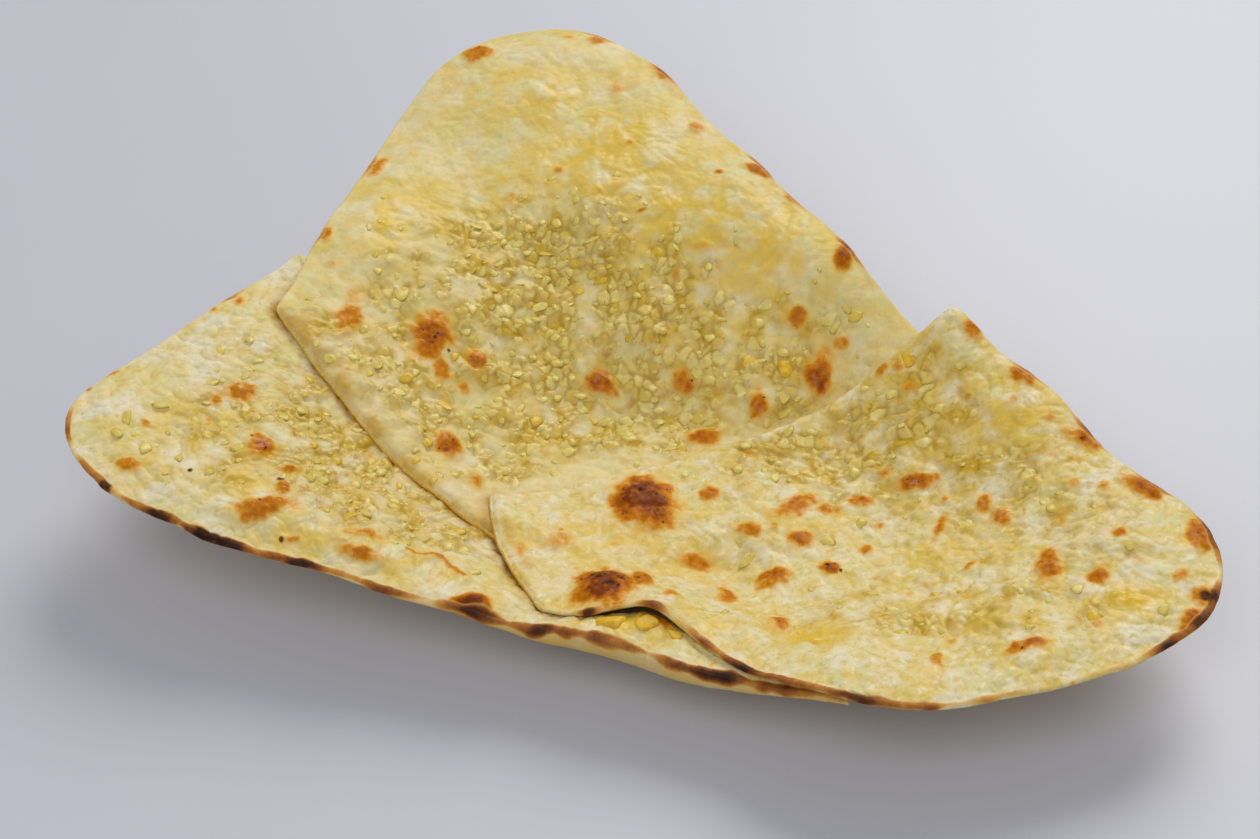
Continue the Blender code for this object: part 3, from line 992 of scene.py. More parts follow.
def new_piece(name, points, faces, looks, material):
    """A mesh object with a number at each point for each of its looks."""
    mesh = bpy.data.meshes.new(name)
    mesh.from_pydata(points.tolist(), [], faces)
    mesh.shade_smooth()
    for label, values in looks.items():
        attribute = mesh.attributes.new(label, "FLOAT", "POINT")
        attribute.data.foreach_set("value", values.astype(np.float32))
    mesh.materials.append(material)
    piece = bpy.data.objects.new(name, mesh)
    bpy.context.scene.collection.objects.link(piece)
    return piece


class SliceMesh:
    """Builds the mesh of one slice: its top, its side all round, and its underside.

    The points come in this order: rings of the side from the top's edge down to the underside's
    edge, then the inner points of the top, then those of the underside.
    """

    def __init__(self, name, lift, settings):
        self.name = name
        self.plan = sheet(name)
        self.lift = lift
        self.settings = settings
        self.rng = np.random.default_rng(SEED_LATTICE + SLICES.index(name))
        self.shape_edge()
        self.fill_top_and_underside()
        self.place_points()
        self.read_looks()

    def shape_edge(self):
        """Works out how far the side bulges past the top's edge at each point of the outline."""
        plan = self.plan
        x, y = plan.outline.T
        self.count = len(plan.outline)
        _, thickness, _ = plan.at(x, y)
        nibs = np.zeros(self.count)
        for nib_x, nib_y, width, _, black in RIM_NIBS[self.name]:
            away = round_distance(x, y, nib_x, nib_y, width)
            nibs = np.maximum(nibs, black * np.exp(-(away**2)) * plan.on_rim)
        self.edge_share = edge_share(thickness, np.zeros(self.count), plan.on_rim) * (1.0 + 0.5 * nibs)
        tall = thickness * self.edge_share
        self.bulge = plan.on_rim * np.minimum(1.2 * MM, tall * 0.6) + (1 - plan.on_rim) * tall * 0.6
        self.ring = plan.outline - plan.outward * self.bulge[:, None]
        self.edge_tree = KDTree(self.count)
        for k, place in enumerate(self.ring):
            self.edge_tree.insert((*place, 0.0), k)
        self.edge_tree.balance()

    def points_within(self, spacing, depth_ok):
        """Lattice points within the ring where the depth under the slices above passes a test."""
        x, y = lattice(self.plan.outline, spacing, self.rng)
        chosen = inside(self.ring, x, y) & depth_ok(raster().sample(cover(self.name), x, y))
        x, y = x[chosen], y[chosen]
        gaps = [self.edge_tree.find((a, b, 0.0))[2] for a, b in zip(x, y, strict=True)]
        clear = np.array(gaps, float) > 0.45 * spacing
        return np.column_stack([x[clear], y[clear]])

    def fill_top_and_underside(self):
        """Fills the top finely where it shows and coarsely where it is covered, then the underside."""
        shown = (self.plan.mask & (cover(self.name) < HIDDEN_DEPTH)).sum() * RASTER_CELL**2
        spacing = math.sqrt(float(shown) * 2.0 / math.sqrt(0.75) / TOP_TRIANGLES)
        fine = self.points_within(spacing, lambda depth: depth < HIDDEN_DEPTH)
        coarse = self.points_within(COVERED_SPACING, lambda depth: depth >= HIDDEN_DEPTH)
        top = np.vstack([fine, coarse])
        under = self.points_within(UNDERSIDE_SPACING, lambda depth: depth > -1.0)
        self.rings = WALL_RINGS + 1
        self.first_top = self.rings * self.count
        self.first_under = self.first_top + len(top)
        self.top_and_under = np.vstack([top, under])
        last_ring = (self.rings - 1) * self.count
        self.top_faces = self.moved(fill(self.ring, top), 0, self.first_top)
        self.under_faces = [
            face[::-1] for face in self.moved(fill(self.ring, under), last_ring, self.first_under)
        ]

    def moved(self, faces, ring_start, rest_start):
        """Moves the point numbers of a filled ring to where its points stand in the whole slice."""
        return [
            tuple(ring_start + k if k < self.count else rest_start + k - self.count for k in face)
            for face in faces
        ]

    def side_faces(self):
        """Quads between the rings of the side."""
        faces = []
        for step in range(self.rings - 1):
            start = step * self.count
            for k in range(self.count):
                after = (k + 1) % self.count
                below = start + self.count
                faces.append((start + k, below + k, below + after, start + after))
        return faces

    def place_points(self):
        """Gives every point its place: the sheet's own height, its relief and the side's roundness."""
        plan, count, rings = self.plan, self.count, self.rings
        step = np.arange(rings)[:, None] / WALL_RINGS
        round_out, round_up = np.sin(math.pi * step), np.cos(math.pi * step)
        skirt_out, skirt_up = np.sin(math.pi / 2 * step), 2.0 * np.cos(math.pi / 2 * step) - 1.0
        out = self.bulge * (plan.on_rim * round_out + (1.0 - plan.on_rim) * skirt_out)
        up = plan.on_rim * round_up + (1.0 - plan.on_rim) * skirt_up
        side = self.ring + plan.outward * out[..., None]
        flat = np.vstack([side.reshape(-1, 2), self.top_and_under])
        under_count = len(flat) - self.first_under
        top_count = self.first_under - self.first_top
        up = np.concatenate([up.ravel(), np.ones(top_count), -np.ones(under_count)])
        self.x, self.y = x, y = flat.T
        middle, thickness, normal = plan.at(x, y)

        self.nearest = np.zeros(len(x), int)
        self.from_edge = np.zeros(len(x))
        self.nearest[: self.first_top] = np.tile(np.arange(count), rings)
        for k in range(self.first_top, len(x)):
            _, self.nearest[k], self.from_edge[k] = self.edge_tree.find((x[k], y[k], 0.0))
        on_rim = plan.on_rim[self.nearest]
        share = edge_share(thickness, self.from_edge, on_rim)
        share[: self.first_top] = np.tile(self.edge_share, rings)
        thick = thickness * share

        self.brown, rise = browning(self.name, x, y, self.settings.blister_height)
        self.crest = crests(x, y)
        self.mince, self.gap, self.tone = mince_on(self.name, x, y)
        covered = raster().sample(cover(self.name), x, y)
        damp = 1.0 - smoothstep(covered / RELIEF_FADE)
        top = top_relief(self.name, x, y, self.settings) + rise
        top += self.settings.mince_height * self.mince - 0.05 * MM * self.gap
        top *= damp * (0.35 + 0.65 * smoothstep(self.from_edge / EDGE_FADE))
        foot = smoothstep((middle - thickness / 2) / (5 * MM))
        bottom = bottom_relief(x, y) * foot * smoothstep(self.from_edge / EDGE_FADE)
        weight = (up + 1.0) / 2.0
        height = up * thick / 2 - (thickness - thick) / 2 + top * weight - bottom * (1.0 - weight)
        self.points = np.column_stack([x, y, middle]) + normal * height[:, None]

        self.on_side = np.zeros(len(x))
        self.on_side[count : self.first_top] = 1.0
        crumbly = self.on_side * (1.0 - on_rim) * smoothstep((1.0 - up) / 0.5)
        rough = 0.12 * noise(x + self.points[:, 2], y + 2 * up * MM, 1.6 * MM, 81)
        rough += 0.14 * noise(x + self.points[:, 2], y - 3 * up * MM, 3.4 * MM, 82)
        self.points[:, :2] += plan.outward[self.nearest] * (rough * crumbly * MM)[:, None]
        self.points[:, 2] += raster().sample(self.lift, x, y)
        self.points[:, 2] = np.maximum(self.points[:, 2], CAD_BOX[0][2] + FLOOR_GAP)
        self.crumbly = crumbly
        # Foot of a cut's side, which takes painted shade with oil
        self.foot = crumbly * smoothstep((0.1 - up) / 0.9)

        # Way along the side from the top's edge, for the rings
        ring_points = self.points[: self.first_top].reshape(rings, count, 3)
        steps = np.linalg.norm(np.diff(ring_points, axis=0), axis=2)
        self.arc = np.zeros(len(x))
        self.arc[: self.first_top] = np.vstack([np.zeros(count), np.cumsum(steps, axis=0)]).ravel()

    def read_looks(self):
        """Works out what the finish of the bread needs to know at each point."""
        x, y, name = self.x, self.y, self.name
        on_rim = self.plan.on_rim[self.nearest]
        rim_brown = np.zeros(len(x))
        for middle_x, middle_y, reach, strength in RIM_BROWNING[name]:
            away = round_distance(x, y, middle_x, middle_y, reach)
            rim_brown = np.maximum(rim_brown, strength * np.exp(-(away**2)))
        rim_brown = np.clip(rim_brown * (1.0 + 0.45 * noise(x, y, 6 * MM, 91)), 0, 1)
        width = (0.4 + 1.2 * rim_brown) * (1.0 + 0.6 * noise(x, y, 6 * MM, 92)) * MM
        off = self.from_edge + 0.45 * self.arc
        on_edge = smoothstep(1.35 - off / np.maximum(width, 0.25 * MM)) * on_rim
        char = np.zeros(len(x))
        for nib_x, nib_y, reach, _, black in RIM_NIBS[name]:
            away = round_distance(x, y, nib_x, nib_y, reach)
            away += 0.2 * noise(x, y, 2 * MM, 93)
            char = np.maximum(char, black * smoothstep((1.15 - away) / 0.7))
        char *= smoothstep(1.4 - off / (1.6 * MM))
        for pit_x, pit_y, size in PITS[name]:
            away = 2 * round_distance(x, y, pit_x, pit_y, size)
            away += 0.3 * noise(x, y, 1.8 * MM, 94)
            char = np.maximum(char, smoothstep((1.5 - away) / 1.1))
        oiled_and_shaded = np.zeros(len(x))
        for *line, reach, strength in OILED_AND_SHADED[name]:
            oiled_and_shaded = np.maximum(oiled_and_shaded, strength * np.exp(-((line_distance(x, y, line) / reach) ** 2)))
        under = np.zeros(len(x))
        under[self.first_under :] = 1.0
        under[self.first_top - self.count : self.first_top] = self.plan.on_rim
        shows = 1.0 - under
        garlic = smoothstep(garlic_thickness(name, x, y) * 1.6 - 0.15)
        # The outer wall of the rim, which takes painted shade and a painted warm reflection over its
        # gold
        wall = self.on_side * on_rim * smoothstep(self.arc / (1.6 * MM) - 0.4)
        lumpy = 0.5 + 0.5 * roughness_of(name, x, y)
        # Painted shade: a darker ring round each loose piece of garlic, where it meets the bread
        garlic_ring_shade = 0.5 * near_garlic(name, x, y) * (0.3 + 0.7 * garlic)
        self.looks = {
            "brown": self.brown * shows,
            "crust": on_edge * (0.06 + 0.94 * rim_brown),
            "char": char,
            "wet": garlic * shows,
            "mince": self.mince * shows,
            "tone": self.tone,
            "gap": np.maximum(self.gap, garlic_ring_shade) * shows,
            "crest": np.clip(0.5 + (self.crest - 0.5) * lumpy, 0, 1),
            "oiled_and_shaded": oiled_and_shaded,
            "under_edge_oil_and_shade": raster().sample(under_edge_oil_and_shade(name), x, y) * zones(SHADED_OIL_UNDER_EDGES, x, y) * shows,
            "butter": zones(BUTTER_ZONES[name], x, y) * shows,
            "wall": WALL_SHADE_AND_GOLD[name] * wall,
            "crumb": self.crumbly,
            "foot": self.foot,
            "under": under,
        }

    def map_out(self, mesh, upper_corners):
        """Lays the top and side out flat as one island, and the underside as a smaller one."""
        outline = self.plan.outline
        low = outline.min(0) - MAP_MARGIN
        span = float((outline.max(0) - outline.min(0)).max()) + 2 * MAP_MARGIN
        flat = np.column_stack([self.x, self.y])
        side = np.tile(self.ring, (self.rings, 1))
        outward = self.plan.outward[self.nearest[: self.first_top]]
        flat_side = side + outward * self.arc[: self.first_top, None]
        upper = np.vstack([flat_side, flat[self.first_top :]])
        upper = (upper - low) / span * TOP_SHARE
        lower = (flat - low) / span * (0.98 - TOP_SHARE) + (TOP_SHARE + 0.01, 0.0)
        corners = np.zeros(len(mesh.loops), np.int32)
        mesh.loops.foreach_get("vertex_index", corners)
        uv = np.vstack([upper[corners[:upper_corners]], lower[corners[upper_corners:]]])
        mesh.uv_layers.new(name="OFBake").data.foreach_set("uv", uv.astype(np.float32).ravel())

    def build(self):
        """Makes the bread, which stands for the slice's solid and takes its finish from its slot."""
        side = self.side_faces()
        faces = self.top_faces + side + self.under_faces
        material = bread_finish(self.name, self.settings)
        bread = new_piece(f"{self.name}_bread", self.points, faces, self.looks, material)
        self.map_out(bread.data, 3 * len(self.top_faces) + 4 * len(side))
        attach(bread, BODY)
        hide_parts(self.name)
        return bread


def edge_share(thickness, from_edge, on_rim):
    """Share of the solid's thickness that the bread has: it thins towards the rim and the cuts."""
    puffed = smoothstep((thickness - 4.3 * MM) / (1.5 * MM))
    rim = 0.58 + 0.42 * smoothstep(from_edge / (11 * MM))
    slope = np.clip(from_edge / (5.5 * MM), 0.0, 1.0)
    cut = 0.36 + 0.64 * np.sqrt(1.0 - (1.0 - slope) ** 2)
    share = on_rim * rim + (1.0 - on_rim) * cut
    return share + (1.0 - share) * puffed * on_rim


def lift_over(tops, name):
    """Raster field: how far a slice is moved up, or down below 0, so that it rests on the ones below."""
    plan = sheet(name)
    bottom = plan.middle - plan.thickness / 2 / np.maximum(plan.normal[2], 0.3)
    held = plan.mask & (tops > -0.5)
    gap = np.where(held, bottom - tops - REST_GAP, 0.0)
    from_free = depth_in(~(plan.mask & ~held), SAG_REACH)
    sag = np.clip(gap, 0.0, SAG_MOST) * smoothstep(from_free / (SAG_REACH * RASTER_CELL))
    sag *= 1.0 - zones(KEPT_UP, raster().x, raster().y)
    sag = blur(sag, 2.5)
    need = np.where(held, tops + REST_GAP - bottom + sag, 0.0)
    return blur(widen(np.maximum(need, 0.0), 2), 1.5) - sag + curl(name)


def curl(name):
    """Raster field: how far the edges of a slice curl up."""
    grid = raster()
    height = np.zeros(grid.shape)
    for *place, rise in CURLS[name]:
        height += rise * MM * mound(grid.x, grid.y, *place)
    return height


def top_heights(thing, tops):
    """Raster field of the highest surface, with one more piece added."""
    grid = raster()
    tree = tree_of([thing])
    mask = widen(sheet(thing.name.removesuffix("_bread")).mask.astype(float), 2) > 0.5
    for i, j in np.argwhere(mask):
        hit = tree.ray_cast(Vector((grid.x[i, j], grid.y[i, j], OVER_ALL)), DOWN)[0]
        if hit is not None:
            tops[i, j] = max(tops[i, j], hit.z)
    return tops


def tree_of(things):
    """Tree for casting rays on the things."""
    points, faces = [], []
    for thing in things:
        start = len(points)
        points += [tuple(point.co) for point in thing.data.vertices]
        faces += [tuple(start + k for k in face.vertices) for face in thing.data.polygons]
    return BVHTree.FromPolygons(points, faces)


class Finish:
    """A procedural material, with short calls for the nodes it is made of."""

    def __init__(self, name):
        self.material = bpy.data.materials.new(name)
        self.material.use_nodes = True
        self.tree = self.material.node_tree
        self.shader = self.tree.nodes["Principled BSDF"]
        self.place = self.tree.nodes.new("ShaderNodeTexCoord").outputs["Object"]

    def settle(self, **values):
        """Sets numbers that are the same all over on the shader's own sockets."""
        for label, value in values.items():
            self.shader.inputs[label.replace("_", " ")].default_value = value

    def join(self, value, socket):
        """Links a socket, or sets a plain value."""
        if isinstance(value, bpy.types.NodeSocket):
            self.tree.links.new(value, socket)
        else:
            socket.default_value = value

    def attribute(self, name):
        """A number that the mesh carries at each point."""
        node = self.tree.nodes.new("ShaderNodeAttribute")
        node.attribute_name = name
        return node.outputs["Fac"]

    def grain(self, size, detail=2.0, roughness=0.5, warp=0.0):
        """Noise from 0 to 1 whose bumps are about as wide as size."""
        node = self.tree.nodes.new("ShaderNodeTexNoise")
        self.join(self.place, node.inputs["Vector"])
        node.inputs["Scale"].default_value = 1.0 / size
        node.inputs["Detail"].default_value = detail
        node.inputs["Roughness"].default_value = roughness
        node.inputs["Distortion"].default_value = warp
        return node.outputs["Fac"]

    def sum(self, operation, a, b, clamp=False):
        """One sum of two numbers."""
        node = self.tree.nodes.new("ShaderNodeMath")
        node.operation = operation
        node.use_clamp = clamp
        self.join(a, node.inputs[0])
        self.join(b, node.inputs[1])
        return node.outputs[0]

    def between(self, value, low, high, out_low=0.0, out_high=1.0):
        """Maps low..high to out_low..out_high with soft ends."""
        node = self.tree.nodes.new("ShaderNodeMapRange")
        node.interpolation_type = "SMOOTHSTEP"
        self.join(value, node.inputs["Value"])
        amounts = {"From Min": low, "From Max": high, "To Min": out_low, "To Max": out_high}
        for label, amount in amounts.items():
            node.inputs[label].default_value = amount
        return node.outputs["Result"]

    def blend(self, factor, a, b, way="MIX"):
        """Mixes two colours."""
        node = self.tree.nodes.new("ShaderNodeMix")
        node.data_type = "RGBA"
        node.blend_type = way
        self.join(factor, node.inputs["Factor"])
        for value, socket in ((a, node.inputs[6]), (b, node.inputs[7])):
            self.join(value if isinstance(value, bpy.types.NodeSocket) else (*value, 1.0), socket)
        return node.outputs[2]

    def grey(self, value):
        """A grey colour from a number."""
        node = self.tree.nodes.new("ShaderNodeCombineColor")
        for label in ("Red", "Green", "Blue"):
            self.join(value, node.inputs[label])
        return node.outputs["Color"]

    def ramp(self, value, stops):
        """Colours in order of a number from 0 to 1."""
        node = self.tree.nodes.new("ShaderNodeValToRGB")
        self.join(value, node.inputs["Fac"])
        points = node.color_ramp.elements
        while len(points) < len(stops):
            points.new(0.5)
        for point, (position, colour) in zip(points, stops, strict=True):
            point.position = position
            point.color = (*colour, 1.0)
        return node.outputs["Color"]

    def bump(self, height, depth, strength):
        """Fine relief that is too small for the mesh."""
        node = self.tree.nodes.new("ShaderNodeBump")
        node.inputs["Strength"].default_value = strength
        node.inputs["Distance"].default_value = depth
        self.join(height, node.inputs["Height"])
        self.join(node.outputs["Normal"], self.shader.inputs["Normal"])


def dough_colour(finish, name, settings, clouds, flecks, fine):
    """Cream dough with yellower, floury, warm and greenish patches, fine specks, pale specks painted as
    highlights, and painted shade with oil in the hollows.
    """
    crest = finish.attribute("crest")
    marble = finish.sum("MULTIPLY", clouds, 0.48)
    for layer, share in ((flecks, 0.40), (fine, 0.12), (crest, -0.09)):
        marble = finish.sum("ADD", marble, finish.sum("MULTIPLY", layer, share))
    yellow = finish.between(marble, 0.34, 0.60, *YELLOW_SHARE[name])
    colour = finish.blend(yellow, settings.pale_dough, settings.dough)
    pale = finish.between(finish.grain(10 * MM, 1.0, 0.4), 0.46, 0.68, 0.0, FLOURY[name])
    colour = finish.blend(pale, colour, settings.floury_dough)
    for size, strength in ((13 * MM, 0.45), (4.5 * MM, 0.35)):
        drift = finish.grain(size, 1.0, 0.4)
        warm = finish.between(drift, 0.53, 0.70, 0.0, strength)
        colour = finish.blend(warm, colour, settings.warm_dough)
        cool = finish.between(drift, 0.47, 0.30, 0.0, strength)
        colour = finish.blend(cool, colour, settings.cool_dough)
    specks = finish.grain(2.6 * MM, 1.5, 0.5, 0.6)
    yellow = finish.between(specks, 0.56, 0.64, 0.0, SPECKLED[name])
    colour = finish.blend(yellow, colour, settings.yellow_specks)
    # Painted highlights: pale specks at random places stand in for tiny glints
    pale = finish.between(specks, 0.42, 0.34, 0.0, SPECKLED[name])
    colour = finish.blend(pale, colour, settings.pale_glint_specks)
    # Painted shade with oil: the hollows between the lumps turn darker olive
    return finish.blend(finish.between(crest, 0.30, 0.02, 0.0, 0.6), colour, settings.hollow_oil_and_shade)


def dressed_colour(finish, settings, colour, flecks, wet, butter):
    """The dough with soaked butter, oil, the fine garlic, and painted shade with oil in the garlic's
    gaps, along the cuts and under upper edges.
    """
    soaked = finish.sum("MULTIPLY", butter, finish.between(flecks, 0.30, 0.60), True)
    soaked = finish.sum("MAXIMUM", soaked, finish.between(butter, 0.72, 0.98, 0.0, 0.95))
    colour = finish.blend(soaked, colour, settings.buttery_dough)
    oil = finish.sum("MULTIPLY", wet, finish.between(flecks, 0.25, 0.70, 0.45, 0.9), True)
    colour = finish.blend(oil, colour, settings.oily_dough)
    bits = finish.blend(finish.attribute("tone"), settings.garlic_bits, settings.pale_bits)
    carpet = finish.between(finish.attribute("mince"), 0.0, 0.8, 0.0, 0.65)
    colour = finish.blend(carpet, colour, bits)
    # Painted shade with oil: darker olive in the creases of the fine garlic and round each loose piece
    gaps = finish.sum("MULTIPLY", finish.attribute("gap"), 0.33)
    colour = finish.blend(gaps, colour, settings.garlic_gap_oil_and_shade)
    # Painted shade with oil: the top turns tan where it slopes down to a cut
    along_cut = finish.between(flecks, 0.36, 0.56, 0.25, 1.0)
    along_cut = finish.sum("MULTIPLY", finish.attribute("oiled_and_shaded"), along_cut)
    colour = finish.blend(along_cut, colour, settings.shaded_oily_edge)
    # Painted shadow with oil: a dark golden line under the edge of an upper slice
    edge_oil_and_shade = finish.between(flecks, 0.34, 0.56, 0.6, 0.95)
    edge_oil_and_shade = finish.sum("MULTIPLY", finish.attribute("under_edge_oil_and_shade"), edge_oil_and_shade)
    return finish.blend(edge_oil_and_shade, colour, settings.contact_oil_and_shadow)


def baked_colour(finish, settings, colour, brown, crust):
    """The browned spots of the top, and the rim with its browned stretches and its golden wall with
    painted shade and warm reflection.
    """
    speckle = finish.between(finish.grain(1.5 * MM, 2.0, 0.6), 0.32, 0.68, -0.08, 0.08)
    uneven = finish.sum("MULTIPLY", speckle, finish.between(brown, 0.1, 0.5))
    toasted = finish.sum("ADD", brown, uneven, True)
    spots = finish.ramp(toasted, SCORCH)
    colour = finish.blend(finish.between(toasted, 0.0, 0.5), colour, spots)
    rim = finish.sum("ADD", crust, finish.sum("MULTIPLY", speckle, 0.5), True)
    rim = finish.ramp(rim, BROWNED_RIM)
    # Painted shade and painted warm reflection on the rim's outer wall, over its own gold
    colour = finish.blend(finish.attribute("wall"), colour, settings.outer_wall_shade_and_gold)
    return finish.blend(finish.between(crust, 0.04, 0.35), colour, rim)


def bread_finish(name, settings):
    """Baked dough: cream with soaked butter, browned blisters, dark crust and a floury underside."""
    finish = Finish(f"{name}_baked_dough")
    brown, crust = finish.attribute("brown"), finish.attribute("crust")
    char, wet = finish.attribute("char"), finish.attribute("wet")
    butter, crumb = finish.attribute("butter"), finish.attribute("crumb")
    under = finish.attribute("under")
    clouds, flecks = finish.grain(18 * MM, 1.0, 0.4), finish.grain(6.5 * MM, 1.0, 0.4)
    fine = finish.grain(2.2 * MM)

    colour = dough_colour(finish, name, settings, clouds, flecks, fine)
    colour = dressed_colour(finish, settings, colour, flecks, wet, butter)
    mottle = finish.between(fine, 0.3, 0.7, 0.95, 1.03)
    colour = finish.blend(1.0, colour, finish.grey(mottle), "MULTIPLY")
    colour = baked_colour(finish, settings, colour, brown, crust)

    pores = finish.between(finish.grain(0.9 * MM, 3.0, 0.6), 0.35, 0.6)
    inner = finish.blend(pores, settings.crumb_shadow, settings.crumb)
    # Painted shade with oil: the foot of a cut's side is darker and more golden
    inner = finish.blend(finish.attribute("foot"), inner, settings.oily_shaded_foot)
    colour = finish.blend(crumb, colour, inner)

    patches = finish.between(finish.grain(17 * MM, 2.0, 0.55, 0.3), 0.55, 0.74)
    clouded = finish.between(clouds, 0.35, 0.65)
    base = finish.blend(clouded, settings.underside, settings.toasted_underside)
    base = finish.blend(finish.sum("MULTIPLY", patches, 0.9), base, settings.underside_patches)
    keep_crust = finish.sum("MULTIPLY", under, finish.sum("SUBTRACT", 1.0, crust, True), True)
    colour = finish.blend(keep_crust, colour, base)
    burnt = finish.blend(finish.between(fine, 0.45, 0.65), settings.char, settings.pale_char)
    colour = finish.blend(finish.between(char, 0.1, 0.9, 0.0, 0.92), colour, burnt)
    finish.join(colour, finish.shader.inputs["Base Color"])

    moist = finish.sum("MAXIMUM", wet, butter)
    gloss = finish.between(moist, 0.1, 0.9, 0.48, 0.30)
    matt = finish.sum("MAXIMUM", under, finish.sum("MAXIMUM", crumb, char))
    roughness = finish.blend(matt, finish.grey(gloss), [MATT_ROUGHNESS] * 3)
    finish.join(roughness, finish.shader.inputs["Roughness"])
    film = finish.between(moist, 0.1, 0.9, 0.02, 0.22)
    film = finish.sum("MULTIPLY", film, finish.sum("SUBTRACT", 1.0, matt, True))
    finish.join(film, finish.shader.inputs["Coat Weight"])
    finish.settle(IOR=1.42, Specular_IOR_Level=0.14, Coat_Roughness=0.32)
    finish.settle(
        Subsurface_Weight=0.12, Subsurface_Radius=(1.0, 0.6, 0.25), Subsurface_Scale=1.5 * MM
    )

    pits = finish.sum("MULTIPLY", finish.grain(0.9 * MM, 2.0, 0.5), 0.35)
    skin = finish.sum("ADD", pits, finish.grain(3.0 * MM, 2.0, 0.5))
    finish.bump(skin, 0.3 * MM, 0.6)
    return finish.material


def garlic_finish(name, settings):
    """Cooked garlic: pale, a little green, soft and wet, with painted shade on the lower part of each
    piece.
    """
    finish = Finish(name)
    tint, depth = finish.attribute("tint"), finish.attribute("height")
    colour = finish.blend(tint, settings.garlic, settings.garlic_green)
    colour = finish.blend(finish.between(tint, 0.78, 0.95, 0.0, 0.8), colour, settings.garlic_buttered)
    # Painted shade: the lower part of each piece is darker
    colour = finish.blend(finish.between(depth, 0.15, 0.6, 0.4, 0.0), colour, settings.garlic_shadow)
    mottle = finish.between(finish.grain(1.2 * MM, 3.0, 0.6), 0.3, 0.7, 0.88, 1.08)
    colour = finish.blend(1.0, colour, finish.grey(mottle), "MULTIPLY")
    finish.join(colour, finish.shader.inputs["Base Color"])
    finish.settle(Roughness=0.38, Specular_IOR_Level=0.4)
    finish.settle(
        Subsurface_Weight=0.25, Subsurface_Radius=(1.0, 0.8, 0.35), Subsurface_Scale=1.2 * MM
    )
    finish.bump(finish.grain(1.2 * MM, 1.0, 0.5), 0.12 * MM, 0.4)
    return finish.material


def butter_finish(settings):
    """Soft butter, clouded where it has melted."""
    finish = Finish("soft_butter")
    cloud = finish.grain(2.5 * MM, 3.0, 0.6, 0.5)
    colour = finish.blend(finish.between(cloud, 0.35, 0.7), settings.butter, settings.butter_deep)
    finish.join(colour, finish.shader.inputs["Base Color"])
    finish.settle(Roughness=0.40, Specular_IOR_Level=0.3)
    finish.settle(
        Subsurface_Weight=0.3, Subsurface_Radius=(1.0, 0.7, 0.2), Subsurface_Scale=2.0 * MM
    )
    finish.bump(finish.grain(1.5 * MM, 2.0, 0.5), 0.2 * MM, 0.5)
    return finish.material


def burnt_finish(settings):
    """Crumbs burnt to charcoal."""
    finish = Finish("burnt_crumb")
    colour = finish.blend(finish.grain(0.8 * MM), settings.burnt_brown, settings.burnt_black)
    finish.join(colour, finish.shader.inputs["Base Color"])
    finish.settle(Roughness=0.6)
    return finish.material


def floor_finish(settings):
    """A plain pale table top."""
    finish = Finish("pale_table")
    cloud = finish.grain(0.25, 2.0)
    tint = [part * 0.97 for part in settings.floor]
    colour = finish.blend(finish.between(cloud, 0.3, 0.7), settings.floor, tint)
    finish.join(colour, finish.shader.inputs["Base Color"])
    finish.settle(Roughness=0.45)
    return finish.material


@functools.lru_cache(maxsize=None)
def round_blob(subdivisions):
    """Points and faces of a ball of unit radius."""
    ball = bmesh.new()
    bmesh.ops.create_icosphere(ball, subdivisions=subdivisions, radius=1.0)
    points = np.array([point.co for point in ball.verts])
    faces = np.array([[point.index for point in face.verts] for face in ball.faces])
    ball.free()
    return points, faces


def chopped(ball, rng, cuts, crisp):
    """A ball cut to a flat-topped block with a few flat sides, as chopped pieces have."""
    piece = ball.copy()
    for way in rng.normal(size=(3, 3)):
        piece *= 1.0 + 0.13 * np.sin(2.2 * ball @ way + rng.uniform(0.0, 2.0 * math.pi))[:, None]
    turn = rng.uniform(0.0, 2.0 * math.pi)
    ways = [(rng.uniform(-0.3, 0.3), rng.uniform(-0.3, 0.3), 1.0, rng.uniform(0.35, 0.7))]
    for side in range(cuts):
        angle = turn + (side + rng.uniform(-0.35, 0.35)) * 2.0 * math.pi / cuts
        ways.append((math.cos(angle), math.sin(angle), rng.uniform(-0.2, 0.5), rng.uniform(0.40, 0.85)))
    for *way, reach in ways:
        way = np.array(way) / np.linalg.norm(way)
        over = np.maximum(piece @ way - reach, 0.0)
        piece -= crisp * over[:, None] * way
    return piece


def make_scatter(name, ovals_by_slice, subdivisions, rng, sink, material, cuts=5, crisp=0.78):
    """One mesh of many small pieces that lie on the bread, each sunk in by a share of its height."""
    tree = tree_of([bpy.data.objects[f"{part}_bread"] for part in SLICES])
    ball, ball_faces = round_blob(subdivisions)
    points, faces, tints, heights = [], [], [], []
    for ovals in ovals_by_slice:
        for x, y, length, width, turn, tall in ovals:
            hit, normal, _, _ = tree.ray_cast(Vector((x, y, OVER_ALL)), DOWN)
            if hit is None or normal.z < STEEPEST:
                continue
            normal = np.array((Vector(normal) + UP * UPRIGHTNESS).normalized())
            along = np.array([math.cos(turn), math.sin(turn), 0.0])
            along -= normal * (along @ normal)
            along /= np.linalg.norm(along)
            across = np.cross(normal, along)
            half_sizes = np.array([along * length / 2, across * width / 2, normal * tall / 2])
            shape = chopped(ball, rng, cuts, crisp)
            start = len(points) * len(ball)
            points.append(np.array(hit) + normal * tall * (0.5 - sink) + shape @ half_sizes)
            faces.append(ball_faces + start)
            tints.append(np.full(len(ball), rng.uniform()))
            heights.append(np.clip((shape[:, 2] + 1) / 2, 0, 1))
    if not points:
        raise RuntimeError(f"no place was found for {name}")
    looks = {"tint": np.concatenate(tints), "height": np.concatenate(heights)}
    thing = new_piece(name, np.vstack(points), np.vstack(faces).tolist(), looks, material)
    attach(thing, BODY)


